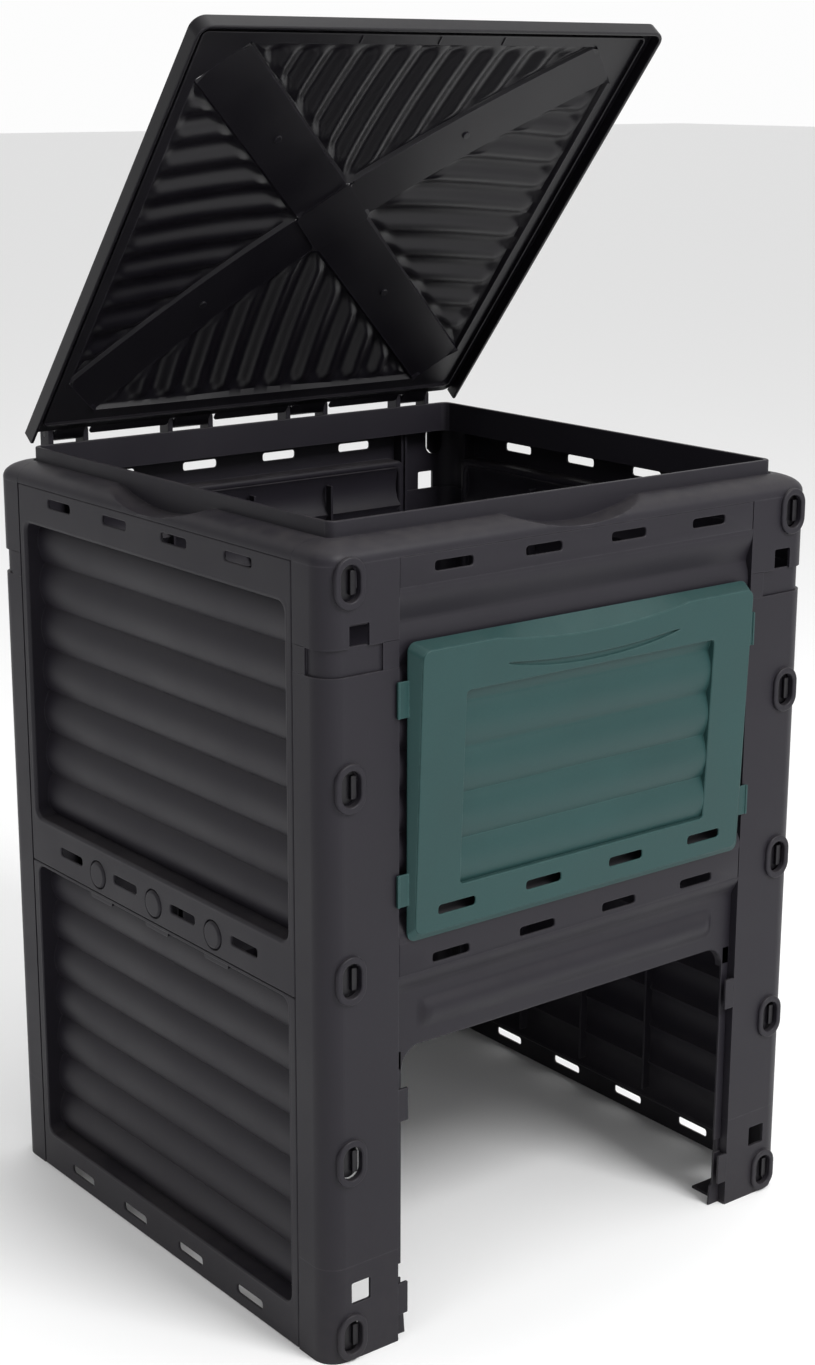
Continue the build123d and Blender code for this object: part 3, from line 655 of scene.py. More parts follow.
def corner_plan(hand_x, hand_y, groove=0):
    """Plan of a corner moulding, its face set back by a groove round the corner."""
    half_x, half_y = RIGHT_X, SIDE_HALF

    def arc(inset, steps=12):
        bend = CORNER_ROUND - inset
        mid_x, mid_y = half_x - CORNER_ROUND, half_y - CORNER_ROUND
        turns = [radians(90 * i / steps) for i in range(steps + 1)]
        return [(mid_x + bend * sin(t), mid_y + bend * cos(t)) for t in turns]

    plan = [(POST_FACE, half_y - POST_RETURN), (POST_FACE, half_y)]
    if groove:
        plan += [(NECK[0], half_y), (NECK[0], half_y - groove)]
    plan += arc(groove)
    if groove:
        plan += [(half_x - groove, NECK[1]), (half_x, NECK[1])]
    plan += [(half_x, POST_SIDE + POST_GAP), (half_x - SKIN - groove, POST_SIDE + POST_GAP)]
    plan += arc(SKIN + groove)[::-1]
    plan += [(POST_FACE + SKIN, half_y - SKIN - groove), (POST_FACE + SKIN, half_y - POST_RETURN)]
    plan = [(hand_x * x, MID_Y + hand_y * y) for x, y in plan]
    return plan if hand_x * hand_y < 0 else plan[::-1]


def skinned(name, loops, wrap=False):
    """A closed solid over a run of loops: its ends are capped, or it wraps round to its start."""
    solid = bmesh.new()
    rings = [[solid.verts.new(spot) for spot in loop] for loop in loops]
    for near, far in zip(rings, rings[1:] + rings[:1] if wrap else rings[1:]):
        for i in range(len(near)):
            k = (i + 1) % len(near)
            solid.faces.new((near[i], near[k], far[k], far[i]))
    if not wrap:
        solid.faces.new(rings[0][::-1])
        solid.faces.new(rings[-1])
    bmesh.ops.remove_doubles(solid, verts=solid.verts[:], dist=1e-6)
    bmesh.ops.recalc_face_normals(solid, faces=solid.faces[:])
    mesh = bpy.data.meshes.new(name)
    solid.to_mesh(mesh)
    solid.free()
    return mesh


def upright(plan, low, high):
    """A plan drawn up from one height to another, closed at both ends."""
    return skinned("upright", [[(x, y, z) for x, y in plan] for z in (low, high)])


def cut_and_rounded(mesh, cutters, edge):
    """Cut holes through a moulding, then round every sharp edge."""
    body = bpy.data.objects.new("body", mesh)
    bpy.context.scene.collection.objects.link(body)
    tools = []
    for cutter in cutters:
        tool = bpy.data.objects.new("tool", cutter)
        bpy.context.scene.collection.objects.link(tool)
        tools.append(tool)
        cut = body.modifiers.new("Cut", "BOOLEAN")
        cut.operation = "DIFFERENCE"
        cut.solver = "EXACT"
        cut.object = tool
    soft = body.modifiers.new("Round", "BEVEL")
    soft.width = edge
    soft.segments = 3
    soft.limit_method = "ANGLE"
    soft.angle_limit = radians(35)
    soft.use_clamp_overlap = True
    made = bpy.data.meshes.new_from_object(body.evaluated_get(bpy.context.evaluated_depsgraph_get()))
    for used in (body, *tools):
        bpy.data.objects.remove(used)
    return made


def oval(mid_x, mid_y, length, width, steps=12):
    """An upright stadium."""
    return rounded_box(mid_x, mid_y, width / 2, length / 2, width / 2 - 0.01 * MM, steps)


def placed(mesh, place):
    mesh.transform(place)
    return mesh


def corner_shells(kind, hand_x, hand_y, low, high):
    """Shells of one corner moulding: its wrap with holes, its key rings, and its neck or sole."""
    wall = WALLS["front" if hand_y < 0 else "back"]
    turn = -hand_x * hand_y
    cutters = []
    for row in KEY_ROWS[kind]:
        hole = oval(turn * KEY_X, row * MM, *KEY_HOLE)
        cutters.append(placed(moulded_plate(hole, [], -CUT_DEPTH, CUT_DEPTH, 0), wall))
    if kind in SQUARES:
        hole = rounded_box(turn * SQUARE_X, SQUARES[kind], 11 * MM, 11 * MM, 1.5 * MM, 3)
        cutters.append(placed(moulded_plate(hole, [], -CUT_DEPTH, CUT_DEPTH, 0), wall))
    shells = [cut_and_rounded(upright(corner_plan(hand_x, hand_y), low, high), cutters, 1.1 * MM)]
    for row in KEY_ROWS[kind]:
        outer, inner = (oval(turn * KEY_X, row * MM, *size) for size in (KEY_RING, KEY_HOLE))
        shells.append(placed(moulded_plate(outer, [inner], -2 * MM, 3.5 * MM, 1.8 * MM, 4), wall))
    if kind == "cap":
        neck = upright(corner_plan(hand_x, hand_y, NECK_DEPTH), POST_TOP, CAP_LOW + 1 * MM)
        shells.append(cut_and_rounded(neck, [], 0.5 * MM))
    if kind == "foot":
        sole = [
            (POST_FACE, POST_SIDE), (RIGHT_X, POST_SIDE), (RIGHT_X, SIDE_HALF - CORNER_ROUND),
            (RIGHT_X - CORNER_ROUND, SIDE_HALF), (POST_FACE, SIDE_HALF),
        ]
        sole = [(hand_x * (x - 1 * MM), MID_Y + hand_y * (y - 1 * MM)) for x, y in sole]
        shells.append(moulded_plate(sole, [], 0, SKIN, 0.4 * MM, 1))
    return shells


HEIGHTS = {"foot": (0, FOOT_TOP), "post": (FOOT_TOP, POST_TOP), "cap": (CAP_LOW, RIM_LOW)}
CORNERS = {"front_left": (-1, -1), "front_right": (1, -1), "back_left": (-1, 1), "back_right": (1, 1)}
for corner, (hand_x, hand_y) in CORNERS.items():
    for kind, (low, high) in HEIGHTS.items():
        shells = corner_shells(kind, hand_x, hand_y, low, high)
        name = f"{corner}_{kind}"
        piece(f"{corner}_corner_{kind}", shells, Matrix.Identity(4), CHARCOAL, "bin", [name], 32)

# Lock keys.
# A small oval shoe with an upright grip sits in every ring and locks the walls to the corners.


def set_on_points_tree():
    """A piece set on every point of a mesh."""
    tree = bpy.data.node_groups.new("Set on points", "GeometryNodeTree")
    tree.interface.new_socket("Points", in_out="INPUT", socket_type="NodeSocketGeometry")
    tree.interface.new_socket("Part", in_out="INPUT", socket_type="NodeSocketObject")
    tree.interface.new_socket("Plastic", in_out="INPUT", socket_type="NodeSocketMaterial")
    tree.interface.new_socket("Geometry", in_out="OUTPUT", socket_type="NodeSocketGeometry")
    link = tree.links.new
    given = tree.nodes.new("NodeGroupInput").outputs
    part = tree.nodes.new("GeometryNodeObjectInfo")
    link(given["Part"], part.inputs["Object"])
    spread = tree.nodes.new("GeometryNodeInstanceOnPoints")
    link(given["Points"], spread.inputs["Points"])
    link(part.outputs["Geometry"], spread.inputs["Instance"])
    real = tree.nodes.new("GeometryNodeRealizeInstances")
    link(spread.outputs["Instances"], real.inputs["Geometry"])
    paint = tree.nodes.new("GeometryNodeSetMaterial")
    link(real.outputs["Geometry"], paint.inputs["Geometry"])
    link(given["Plastic"], paint.inputs["Material"])
    link(paint.outputs["Geometry"], tree.nodes.new("NodeGroupOutput").inputs[0])
    return tree


SET_ON_POINTS = set_on_points_tree()


def joined(shells):
    whole = bmesh.new()
    for shell in shells:
        whole.from_mesh(shell)
        bpy.data.meshes.remove(shell)
    mesh = bpy.data.meshes.new("joined")
    whole.to_mesh(mesh)
    whole.free()
    return mesh


def set_on_points(part_mesh, spots, plastic):
    """One mesh of the part repeated at each spot of a wall."""
    part = bpy.data.objects.new("part", part_mesh)
    bpy.context.scene.collection.objects.link(part)
    points = bpy.data.meshes.new("points")
    points.from_pydata(spots, [], [])
    made = grown(SET_ON_POINTS, points, part=part, plastic=plastic)
    bpy.data.objects.remove(part)
    return made


KEY = joined([
    moulded_plate(oval(0, 0, 32.4 * MM, 20.4 * MM), [], -8 * MM, -4.5 * MM, 0.8 * MM, 2),
    moulded_plate(rounded_box(5 * MM, 0, 3 * MM, 11 * MM, 1 * MM, 3), [], -5 * MM, -0.8 * MM, 0.7 * MM, 2),
])
all_rows = [row * MM for rows in KEY_ROWS.values() for row in rows]
keys = []
for wall in ("front", "back"):
    spots = [(side * KEY_X, row, 0) for side in (-1, 1) for row in all_rows]
    keys.append(placed(set_on_points(KEY.copy(), spots, BLACK), WALLS[wall]))
piece("wall_lock_keys", keys, Matrix.Identity(4), BLACK, "bin", ["lock_keys"])

# Rim.
# The shoulder slopes in from the walls to a ledge, and the collar stands on it; the lid shuts
# over the collar. It is moulded in four lengths, and finger scoops are pressed into three.
LEDGE_Z = 785 * MM
COLLAR_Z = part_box("front_rim")[1].z
SHOULDER_IN = 24 * MM
COLLAR_IN = 29 * MM
COLLAR_SKIN = 4 * MM
COLLAR_ROUND = 8 * MM
SCOOP_HALF = 85 * MM
SCOOP_DEPTH = 16 * MM
RIM_SECTION = [
    (0, RIM_LOW), (0, 768.5 * MM), (0.5 * MM, 771.2 * MM), (1.7 * MM, 773.8 * MM), (3.5 * MM, 776.1 * MM),
    (6 * MM, 778.3 * MM), (9 * MM, 780.2 * MM), (13 * MM, 782 * MM), (17.5 * MM, 783.6 * MM),
    (21.5 * MM, 784.7 * MM), (24 * MM, LEDGE_Z), (26.6 * MM, LEDGE_Z), (27.1 * MM, 784.6 * MM),
    (27.3 * MM, 783.6 * MM),
    (28.5 * MM, 783.6 * MM), (28.8 * MM, 784.6 * MM), (COLLAR_IN, 786 * MM), (COLLAR_IN, COLLAR_Z - 1.4 * MM),
    (COLLAR_IN + 0.4 * MM, COLLAR_Z - 0.4 * MM), (COLLAR_IN + 1.4 * MM, COLLAR_Z),
    (COLLAR_IN + 2.6 * MM, COLLAR_Z), (COLLAR_IN + 3.6 * MM, COLLAR_Z - 0.4 * MM),
    (COLLAR_IN + COLLAR_SKIN, COLLAR_Z - 1.4 * MM), (COLLAR_IN + COLLAR_SKIN, RIM_LOW),
]


def rim_round(inset):
    """Corner radius of the rim at a distance in from the wall's face."""
    return CORNER_ROUND - (CORNER_ROUND - COLLAR_ROUND) * min(inset / SHOULDER_IN, 1)


def scooped(height, inset, along):
    """Height of the shoulder once the finger scoop is pressed into it."""
    share = abs(along) / SCOOP_HALF
    if share >= 1 or inset > 28.5 * MM:
        return height
    floor = LEDGE_Z - SCOOP_DEPTH * (1 - share * share)
    return min(height, floor)


def rim_side(wall, start, end, count, scoop):
    """Stations along one straight side: start and end say how far it runs at each inset."""
    stations = []
    for i in range(count + 1):
        share = i / count
        line = []
        for inset, height in RIM_SECTION:
            low, high = start(inset), end(inset)
            along = low + (high - low) * share
            level = scooped(height, inset, along) if scoop else height
            line.append(WALLS[wall] @ Vector((along, level, -inset)))
        stations.append(line)
    return stations


def rim_corner(hand_x, hand_y, first, last, steps=10):
    """Stations round one corner, turning from one wall's direction to the next."""
    stations = []
    for i in range(steps + 1):
        turn = radians(first + (last - first) * i / steps)
        line = []
        for inset, height in RIM_SECTION:
            bend = rim_round(inset)
            mid_x = hand_x * (RIGHT_X - inset - bend)
            mid_y = MID_Y + hand_y * (SIDE_HALF - inset - bend)
            line.append(Vector((mid_x + bend * cos(turn), mid_y + bend * sin(turn), height)))
        stations.append(line)
    return stations


SEAM = 0.25 * MM


def mitre(inset):
    """How far along a side wall the seam runs, slanting out to the collar's corner."""
    reach = SIDE_HALF - COLLAR_IN - COLLAR_ROUND
    return POST_SIDE + (reach - POST_SIDE) * min(inset / COLLAR_IN, 1)


def bend_start(half):
    """Where a wall's straight length ends at each inset, from half of that wall."""
    return lambda inset: half - inset - rim_round(inset)


for wall in ("left", "right"):
    side = rim_side(wall, lambda i: -mitre(i) + SEAM, lambda i: mitre(i) - SEAM, 180, True)
    shells = [skinned("rim", side)]
    piece(f"{wall}_rim_length", shells, Matrix.Identity(4), CHARCOAL, "bin", [f"{wall}_rim"], 34)

face_end = bend_start(RIGHT_X)
side_end = bend_start(SIDE_HALF)
LENGTHS = (("front", "left", "right", -1, 180, 200, True), ("back", "right", "left", 1, 0, 40, False))
for wall, first, last, hand_y, turn, count, scoop in LENGTHS:
    length = rim_side(first, lambda i: mitre(i) + SEAM, side_end, 6, False)
    length += rim_corner(hand_y, hand_y, turn, turn + 90)
    length += rim_side(wall, lambda i: -face_end(i), face_end, count, scoop)
    length += rim_corner(-hand_y, hand_y, turn + 90, turn + 180)
    length += rim_side(last, lambda i: -side_end(i), lambda i: -mitre(i) - SEAM, 6, False)
    shells = [skinned("rim", length)]
    piece(f"{wall}_rim_length", shells, Matrix.Identity(4), CHARCOAL, "bin", [f"{wall}_rim"], 34)

# Hinge.
# Pairs of cheeks stand on the back shoulder and hold a short pin between them; the lid's
# knuckles snap over the pins.
HINGE = Vector(frame["record"]["behaviour"]["joints"][0]["pos_m"])
LID_OPEN = radians(-frame["record"]["behaviour"]["joints"][0]["range_deg"][0])
KNUCKLES = ((-230 * MM, 35 * MM), (-78 * MM, 45 * MM), (78 * MM, 45 * MM), (230 * MM, 35 * MM))
PIN_ROUND = 4 * MM
LUG_ROUND = 9 * MM
LUG_SKIN = 6 * MM
LUG_PLAY = 0.5 * MM
# Edge-on plane at the hinge: (towards the back, up, to the right)
EDGE_ON = Matrix(((0, 0, 1, 0), (1, 0, 0, HINGE.y), (0, 1, 0, HINGE.z), (0, 0, 0, 1)))

lug_outline = [(LUG_ROUND * cos(t), LUG_ROUND * sin(t)) for t in (pi * i / 16 for i in range(17))]
lug_outline += [
    (-LUG_ROUND, LEDGE_Z - HINGE.z), (-LUG_ROUND + 2 * MM, LEDGE_Z - HINGE.z - 0.5 * MM),
    (LUG_ROUND, LEDGE_Z - 9 * MM - HINGE.z),
]
shells = []
for x, width in KNUCKLES:
    for hand in (-1, 1):
        middle = x + hand * (width / 2 + LUG_PLAY + LUG_SKIN / 2)
        shells.append(moulded_plate(lug_outline, [disc(0, 0, PIN_ROUND, 24)], middle - LUG_SKIN / 2,
                                    middle + LUG_SKIN / 2, 0.8 * MM, 2))
piece("hinge_cheeks", shells, EDGE_ON, CHARCOAL, "bin", ["hinge_lugs"])
shells = []
for x, width in KNUCKLES:
    reach = width / 2 + LUG_PLAY + LUG_SKIN
    shells.append(moulded_plate(disc(0, 0, PIN_ROUND, 32), [], x - reach, x + reach, 0.7 * MM, 2))
piece("hinge_pin_set", shells, EDGE_ON, BLACK, "bin", ["hinge_pins"])

# Lid.
# One black moulding of even thickness: a flat border on the collar, a skirt outside it, and a
# low dome of four corrugated triangles with an X of flat bands over its hips.
LID_PLANE = Matrix.Translation(HINGE) @ Matrix((
    (1, 0, 0, 0),
    (0, cos(LID_OPEN), sin(LID_OPEN), 0),
    (0, -sin(LID_OPEN), cos(LID_OPEN), 0),
    (0, 0, 0, 1),
))
LID_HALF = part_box("lid")[1].x
LID_FRONT = -541 * MM
LID_BACK = -11 * MM
LID_REAR = -3 * MM
LID_MID = (LID_FRONT + LID_BACK) / 2
LID_UNDER = -8.5 * MM
LID_SKIN = 2.6 * MM
LID_SKIRT = -21 * MM
LID_RISE = 13 * MM
LID_ROUND = 14 * MM
BAND_LEG = 42.4 * MM
LID_BORDER = 28 * MM
FIELD_STEP = 4 * MM
LID_PITCH = 35 * MM
LID_SWELL = 3.2 * MM
DOME_X = LID_HALF - LID_BORDER
DOME_Y = (LID_BACK - LID_FRONT) / 2 - LID_BORDER
HUB = BAND_LEG + 2 * MM
KNUCKLE_ROUND = 8.5 * MM
TICKS = (-89 * MM, 5 * MM, 85 * MM)
TICK_DROP = 1.1 * MM
MARK_SHARE = 0.55
TONGUE_ROOT = 6 * MM


def dome_height(share):
    """Underside height between the border and the hub, softly rounded over."""
    return LID_UNDER + (LID_RISE - LID_UNDER) * sin(share * pi / 2) ** 0.9


def lid_sheet():
    """The underside as one sheet of bands, hub and four corrugated triangles, with the outlines of the border
    round it.
    """
    sheet = bmesh.new()
    steps = 40

    def ring_corner(share, hand_x, hand_y, on_x):
        """A band's edge at a share of the way in; on_x picks its end by the x side."""
        half_x = DOME_X + (HUB - DOME_X) * share
        half_y = DOME_Y + (HUB - DOME_Y) * share
        leg_x, leg_y = (0, BAND_LEG) if on_x else (BAND_LEG, 0)
        return hand_x * (half_x - leg_x), LID_MID + hand_y * (half_y - leg_y)

    def quads(grid):
        for near, far in zip(grid, grid[1:]):
            for i in range(len(near) - 1):
                sheet.faces.new((near[i], near[i + 1], far[i + 1], far[i]))

    # Bands
    for hand_x in (-1, 1):
        for hand_y in (-1, 1):
            grid = []
            for i in range(steps + 1):
                share = i / steps
                ends = [ring_corner(share, hand_x, hand_y, on_x) for on_x in (False, True)]
                line = []
                for k in range(5):
                    part = k / 4
                    x = ends[0][0] + (ends[1][0] - ends[0][0]) * part
                    y = ends[0][1] + (ends[1][1] - ends[0][1]) * part
                    line.append(sheet.verts.new((x, y, dome_height(share))))
                grid.append(line)
            quads(grid)
    # Hub
    hub = [(HUB, HUB - BAND_LEG), (HUB - BAND_LEG, HUB), (BAND_LEG - HUB, HUB), (-HUB, HUB - BAND_LEG),
           (-HUB, BAND_LEG - HUB), (BAND_LEG - HUB, -HUB), (HUB - BAND_LEG, -HUB), (HUB, BAND_LEG - HUB)]
    sheet.faces.new([sheet.verts.new((x, LID_MID + y, LID_RISE)) for x, y in hub])

    # Triangles: columns run in from the outer edge, and the corrugations with them
    def triangle(outward, half_out, half_along):
        """outward turns (in along the edge, out from the middle) into lid x and y."""
        base = half_along - BAND_LEG
        tip = HUB - BAND_LEG
        columns = int(2 * base / (2.5 * MM))
        grid = []
        for i in range(columns + 1):
            along = -base + 2 * base * i / columns
            reach = min((base - abs(along)) / (base - tip), 1)
            line = []
            for k in range(steps + 1):
                share = reach * k / steps
                out = half_out + (HUB - half_out) * share
                # Distance to the nearest side of the triangle, for the step and the fade
                rim = min(share, reach - share) * (half_out - HUB)
                step = min(rim / (3 * MM), 1)
                wave = LID_SWELL * cos(2 * pi * along / LID_PITCH) * eased((rim - 3 * MM) / (14 * MM))
                level = dome_height(share) + FIELD_STEP * step + wave
                line.append(sheet.verts.new((*outward(along, out), level)))
            grid.append(line)
        quads(grid)

    triangle(lambda along, out: (along, LID_MID + out), DOME_Y, DOME_X)
    triangle(lambda along, out: (along, LID_MID - out), DOME_Y, DOME_X)
    triangle(lambda along, out: (out, LID_MID + along), DOME_X, DOME_Y)
    triangle(lambda along, out: (-out, LID_MID + along), DOME_X, DOME_Y)

    # Border, from the dome's foot out to the skirt
    inner = []
    for hand_x, hand_y in ((1, 1), (-1, 1), (-1, -1), (1, -1)):
        pair = [(hand_x * DOME_X, LID_MID + hand_y * (DOME_Y - BAND_LEG)),
                (hand_x * (DOME_X - BAND_LEG), LID_MID + hand_y * DOME_Y)]
        inner += pair if hand_x * hand_y > 0 else pair[::-1]
    half_y = (LID_BACK - LID_FRONT) / 2 - 2 * MM
    outline = rounded_box(0, LID_MID, LID_HALF - 2 * MM, half_y, LID_ROUND - 2 * MM, 9)
    mesh = bpy.data.meshes.new("lid_sheet")
    bmesh.ops.remove_doubles(sheet, verts=sheet.verts[:], dist=0.05 * MM)
    bmesh.ops.recalc_face_normals(sheet, faces=sheet.faces[:])
    middle = max(sheet.faces, key=lambda f: len(f.verts))
    if middle.normal.z > 0:
        bmesh.ops.reverse_faces(sheet, faces=sheet.faces[:])
    sheet.to_mesh(mesh)
    sheet.free()
    return mesh, inner, outline


def lid_shells():
    """The lid's underside and the flat plate of its border."""
    sheet, inner, outline = lid_sheet()
    shells = [thickened(sheet, LID_SKIN)]
    shells.append(moulded_plate(outline, [inner], LID_UNDER, LID_UNDER + LID_SKIN, 0.4 * MM, 1))
    return shells


def skirt_shell():
    """The skirt: round the front and both sides, open along the hinge."""
    section = [
        (0, LID_UNDER + LID_SKIN), (0, LID_SKIRT + 1.2 * MM), (0.4 * MM, LID_SKIRT + 0.3 * MM),
        (1.2 * MM, LID_SKIRT),
        (2.8 * MM, LID_SKIRT), (3.6 * MM, LID_SKIRT + 0.4 * MM), (4 * MM, LID_SKIRT + 1.2 * MM),
        (3.6 * MM, LID_UNDER), (3.6 * MM, LID_UNDER + LID_SKIN - 0.6 * MM),
        (2 * MM, LID_UNDER + LID_SKIN + 0.4 * MM), (0.7 * MM, LID_UNDER + LID_SKIN + 0.3 * MM),
    ]
    stations = []

    def line(x, y, out_x, out_y):
        stations.append([(x - out_x * inset, y - out_y * inset, w) for inset, w in section])

    line(-LID_HALF, LID_BACK, -1, 0)
    for mid_x, first in ((LID_ROUND - LID_HALF, 180), (LID_HALF - LID_ROUND, 270)):
        for i in range(11):
            turn = radians(first + 9 * i)
            across, ahead = cos(turn), sin(turn)
            line(mid_x + LID_ROUND * across, LID_FRONT + LID_ROUND + LID_ROUND * ahead, across, ahead)
    line(LID_HALF, LID_BACK, 1, 0)
    return skinned("skirt", stations)


def rib_frame(inset, width, depth):
    """A low rib run right round the border's underside."""
    half_y = (LID_BACK - LID_FRONT) / 2
    outer = rounded_box(0, LID_MID, LID_HALF - inset, half_y - inset, LID_ROUND - 8 * MM, 7)
    inner = rounded_box(0, LID_MID, LID_HALF - inset - width, half_y - inset - width, LID_ROUND - 9 * MM, 7)
    return moulded_plate(outer, [inner], LID_UNDER - depth, LID_UNDER + 0.5 * MM, 0.5 * MM, 1)


shells = lid_shells() + [skirt_shell(), rib_frame(13 * MM, 1.8 * MM, 4 * MM)]
for x in TICKS:
    tick = rounded_box(x, LID_FRONT + 20 * MM, 0.9 * MM, 7 * MM, 0.4 * MM, 2)
    shells.append(moulded_plate(tick, [], LID_UNDER - TICK_DROP, LID_UNDER + 0.5 * MM, 0.4 * MM, 1))
for hand_x in (-1, 1):
    for hand_y in (-1, 1):
        mark_x = hand_x * (DOME_X + (HUB - DOME_X) * MARK_SHARE - BAND_LEG / 2)
        mark_y = LID_MID + hand_y * (DOME_Y + (HUB - DOME_Y) * MARK_SHARE - BAND_LEG / 2)
        level = dome_height(MARK_SHARE)
        mark = disc(mark_x, mark_y, 4 * MM, 20)
        shells.append(moulded_plate(mark, [], level - 1.6 * MM, level + 1 * MM, 0.6 * MM, 2))
reaches = [(x, width / 2 + LUG_SKIN + 3 * LUG_PLAY) for x, width in KNUCKLES]
spans = [(x - reach, x + reach) for x, reach in reaches]
for left, right in zip(spans, spans[1:]):
    mid_y, half_y = (LID_REAR + LID_BACK - TONGUE_ROOT) / 2, (LID_REAR - LID_BACK + TONGUE_ROOT) / 2
    tongue = rounded_box((left[1] + right[0]) / 2, mid_y, (right[0] - left[1]) / 2, half_y, 3 * MM, 5)
    shells.append(moulded_plate(tongue, [], LID_UNDER, LID_UNDER + LID_SKIN, 0.6 * MM, 2))
turns = [radians(a) for a in range(-90, 150, 15)]
knuckle_outline = [(KNUCKLE_ROUND * cos(t), KNUCKLE_ROUND * sin(t)) for t in turns]
knuckle_outline += [
    (LID_BACK + 3 * MM, LID_UNDER + LID_SKIN), (LID_BACK - 12 * MM, LID_UNDER + LID_SKIN),
    (LID_BACK - 12 * MM, LID_UNDER),
]
HINGE_TURN = Matrix(((0, 0, 1, 0), (1, 0, 0, 0), (0, 1, 0, 0), (0, 0, 0, 1)))
bore = disc(0, 0, PIN_ROUND + 0.05 * MM, 24)
for x, width in KNUCKLES:
    knuckle = moulded_plate(knuckle_outline, [bore], x - width / 2, x + width / 2, 0.7 * MM, 2)
    shells.append(placed(knuckle, HINGE_TURN))
piece("lid_moulding", shells, LID_PLANE, BLACK, "lid", ["lid"], 34)

# Harvest door.
# A green tray, deeper at its top, with a sunken wavy field, four vents, a finger dip in its top
# edge over a pressed groove, and two tabs on each side that lie just in front of the posts.
DOOR_LOW, DOOR_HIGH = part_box("door")[0].z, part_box("door")[1].z
DOOR_HALF = 214 * MM
DOOR_DRAFT = 6 * MM
DOOR_REAR = 1 * MM
DOOR_FACE = (7 * MM, 18 * MM)
DOOR_ROUND = 9 * MM
DOOR_FIELD_HALF = 157 * MM
DOOR_FIELD = (452 * MM, 638 * MM)
DOOR_VENTS = 432 * MM
DOOR_WAVES = 4.3
DIP_HALF = 121 * MM
DIP_DEPTH = 10.5 * MM
TAB_REACH = 226 * MM
TABS = ((442 * MM, 473 * MM), (620 * MM, 654 * MM))
HOOK_HALF = 1.2 * MM
FACE_SKIN = 2.6 * MM
GROOVE_HALF = 108 * MM
GROOVE_Z = 656 * MM
GROOVE_BOW = 9 * MM


def door_face(height):
    """How far out the leaning face stands at a height."""
    return DOOR_FACE[0] + (DOOR_FACE[1] - DOOR_FACE[0]) * (height - DOOR_LOW) / (DOOR_HIGH - DOOR_LOW)


def door_outline(inset, dip):
    """The tray's outline at an inset; only its face has the finger dip in the top edge."""
    mid = (DOOR_LOW + DOOR_HIGH) / 2
    outline = rounded_box(0, mid, DOOR_HALF - inset, (DOOR_HIGH - DOOR_LOW) / 2 - inset, DOOR_ROUND, 7)
    top = []
    for i in range(41):
        x = DIP_HALF * (1 - i / 20)
        top.append((x, DOOR_HIGH - inset - dip * (1 - (x / DIP_HALF) ** 2)))
    return outline[:7] + top + outline[7:]


def leaned(mesh):
    """Lean a level plate so that its face follows the door's."""
    for vertex in mesh.vertices:
        vertex.co.z += door_face(vertex.co.y)
    return mesh


def door_skirt():
    """The drafted wall round the tray, from its rear edge to its face."""
    loops = [
        [(x, z, DOOR_REAR) for x, z in door_outline(0, 0)],
        [(x, z, DOOR_REAR + 1.5 * MM) for x, z in door_outline(0, 0)],
        [(x, z, door_face(z) - 0.9 * MM) for x, z in door_outline(DOOR_DRAFT, DIP_DEPTH)],
        [(x, z, door_face(z) - FACE_SKIN) for x, z in door_outline(DOOR_DRAFT + SKIN, DIP_DEPTH)],
        [(x, z, DOOR_REAR) for x, z in door_outline(SKIN, 0)],
    ]
    return skinned("skirt", loops, wrap=True)


field_mid = sum(DOOR_FIELD) / 2
field_half = (DOOR_FIELD[1] - DOOR_FIELD[0]) / 2
field_mouth = rounded_box(0, field_mid, DOOR_FIELD_HALF, field_half, 4 * MM, 5)
groove_top, groove_foot = [], []
for i in range(25):
    x = GROOVE_HALF * (1 - i / 12)
    swell = 1 - (x / GROOVE_HALF) ** 2
    bow = GROOVE_Z - GROOVE_BOW * swell
    half = FACE_SKIN * sqrt(max(swell, 0)) + 0.15 * MM
    groove_top.append((x, bow + half))
    groove_foot.append((x, bow - half))
groove = groove_top + groove_foot[::-1]
face_holes = [field_mouth, groove, *vents(DOOR_VENTS)]
face = moulded_plate(door_outline(DOOR_DRAFT - 0.3 * MM, DIP_DEPTH), face_holes, -FACE_SKIN, 0, 1.3 * MM, 4)
groove_back = rounded_box(0, 652 * MM, 114 * MM, 11 * MM, 4 * MM, 4)
shells = [
    leaned(face),
    door_skirt(),
    leaned(moulded_plate(groove_back, [], -4.6 * MM, -2.4 * MM, 0.3 * MM, 1)),
    wavy_floor(
        DOOR_FIELD_HALF + SKIN / 2, DOOR_FIELD[0] - SKIN / 2, DOOR_FIELD[1] + SKIN / 2, 5.4 * MM, 10 * MM,
        2.8 * MM, DOOR_WAVES, GREEN, 1.5 * MM,
    ),
]
# Walls of the field, down to its floor
wall_ring = moulded_plate(rounded_box(0, field_mid, DOOR_FIELD_HALF + SKIN, field_half + SKIN, 6 * MM, 5),
                          [field_mouth], 0, 1 * MM, 0.2 * MM, 1)
for vertex in wall_ring.vertices:
    out = door_face(vertex.co.y) - 0.9 * MM
    vertex.co.z = out if vertex.co.z > 0.5 * MM else 1.6 * MM
shells.append(wall_ring)
for hand in (-1, 1):
    for low, high in TABS:
        mid, tall = (low + high) / 2, (high - low) / 2
        half = (TAB_REACH - DOOR_HALF + SKIN) / 2
        tab = rounded_box(hand * (DOOR_HALF + TAB_REACH - SKIN) / 2, mid, half, tall, 1.5 * MM, 4)
        shells.append(moulded_plate(tab, [], DOOR_REAR, DOOR_REAR + 2 * MM, 0.6 * MM, 2))
        hook = rounded_box(hand * (TAB_REACH - HOOK_HALF), mid, HOOK_HALF, tall, 0.8 * MM, 3)
        shells.append(moulded_plate(hook, [], DOOR_REAR, DOOR_REAR + 3 * MM, 0.5 * MM, 2))
piece("harvest_door", shells, WALLS["front"], GREEN, "door", ["door"], 34)

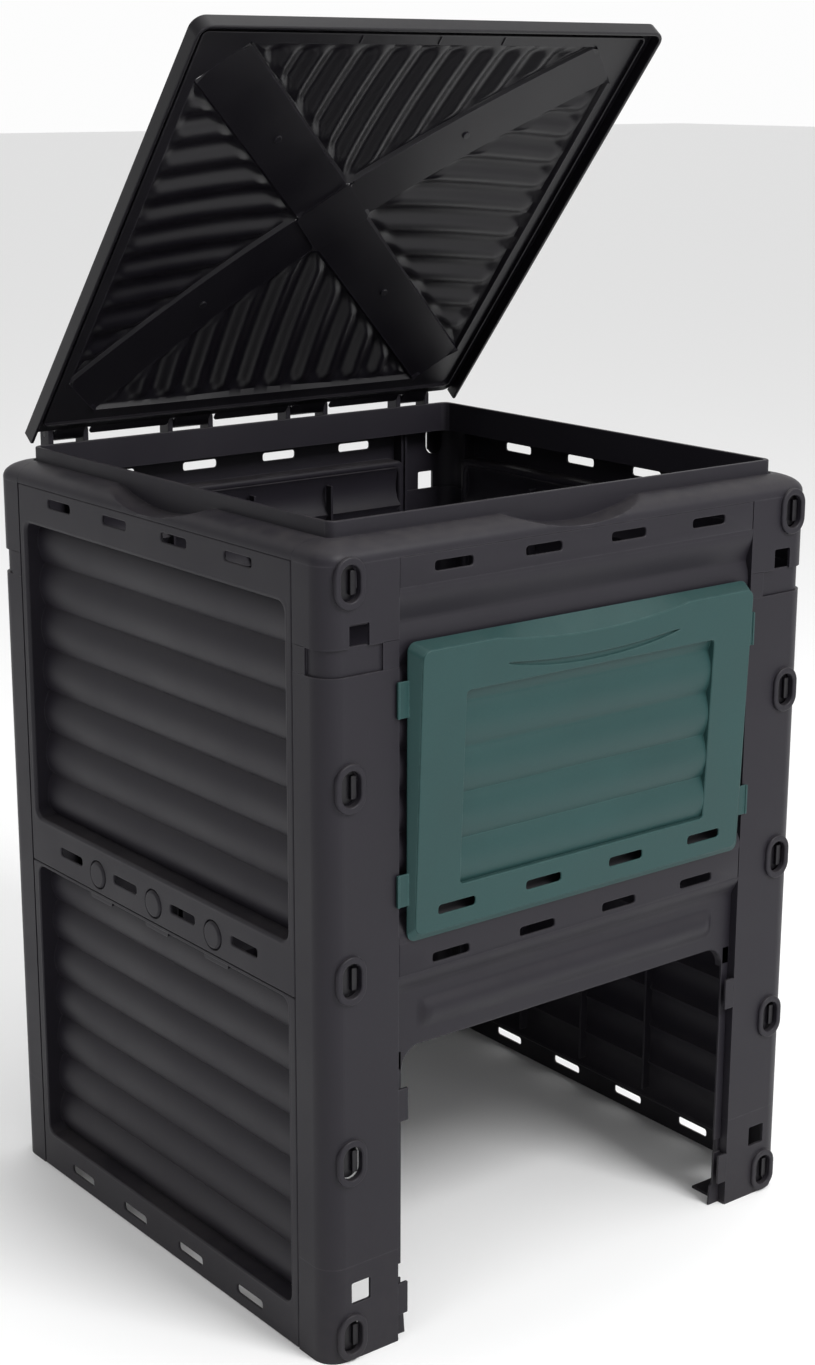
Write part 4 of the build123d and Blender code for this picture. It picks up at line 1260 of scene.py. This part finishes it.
# Studio.
# A pale floor in a pale surround that is dimmer on the left. A large soft light shines from
# the front and above, with a weak fill from the left and a wide one overhead.
floor_mesh = bpy.data.meshes.new("studio_floor")
floor_mesh.from_pydata([(-40, -40, 0), (40, -40, 0), (40, 40, 0), (-40, 40, 0)], [], [(0, 1, 2, 3)])
floor = bpy.data.objects.new("studio_floor", floor_mesh)
bpy.context.scene.collection.objects.link(floor)
paper = bpy.data.materials.new("Pale floor")
paper.use_nodes = True
paper.node_tree.nodes["Principled BSDF"].inputs["Base Color"].default_value = (0.93, 0.93, 0.93, 1)
paper.node_tree.nodes["Principled BSDF"].inputs["Roughness"].default_value = 0.9
floor_mesh.materials.append(paper)

world = bpy.data.worlds.new("Studio")
world.use_nodes = True
world.node_tree.nodes["Background"].inputs["Color"].default_value = (1, 1, 1, 1)
sky = world.node_tree.nodes
around = sky.new("ShaderNodeTexCoord")
across = sky.new("ShaderNodeSeparateXYZ")
dimmer = sky.new("ShaderNodeMapRange")
for socket, number in zip(("From Min", "From Max", "To Min", "To Max"), (-0.8, 0.25, 0.42, 0.98)):
    dimmer.inputs[socket].default_value = number
world.node_tree.links.new(around.outputs["Generated"], across.inputs[0])
world.node_tree.links.new(across.outputs["X"], dimmer.inputs["Value"])
world.node_tree.links.new(dimmer.outputs["Result"], sky["Background"].inputs["Strength"])
bpy.context.scene.world = world


def softbox(name, place, target, size, power):
    """A square soft light at a place, turned to a target."""
    lamp = bpy.data.lights.new(name, "AREA")
    lamp.energy = power
    lamp.size = size
    box = bpy.data.objects.new(name, lamp)
    box.location = place
    box.rotation_euler = (Vector(target) - Vector(place)).to_track_quat("-Z", "Y").to_euler()
    bpy.context.scene.collection.objects.link(box)


softbox("key_light", (0.5, -2.6, 3.0), (0, 0, 0.6), 1.2, 95)
softbox("fill_light", (-2.6, -0.8, 3.0), (0, 0, 0.4), 1.2, 12)
softbox("top_light", (0.2, 0.6, 3.4), (0, 0, 0.6), 2.4, 18)

lens = bpy.data.cameras.new("Camera")
lens.lens = 59.935
lens.sensor_width = 36
camera = bpy.data.objects.new("Camera", lens)
camera.location = (-1.4144, -1.8140, 1.1729)
camera.rotation_euler = (radians(75.006), radians(-0.163), radians(-38.079))
bpy.context.scene.collection.objects.link(camera)
bpy.context.scene.camera = camera
bpy.context.scene.view_settings.view_transform = "Standard"
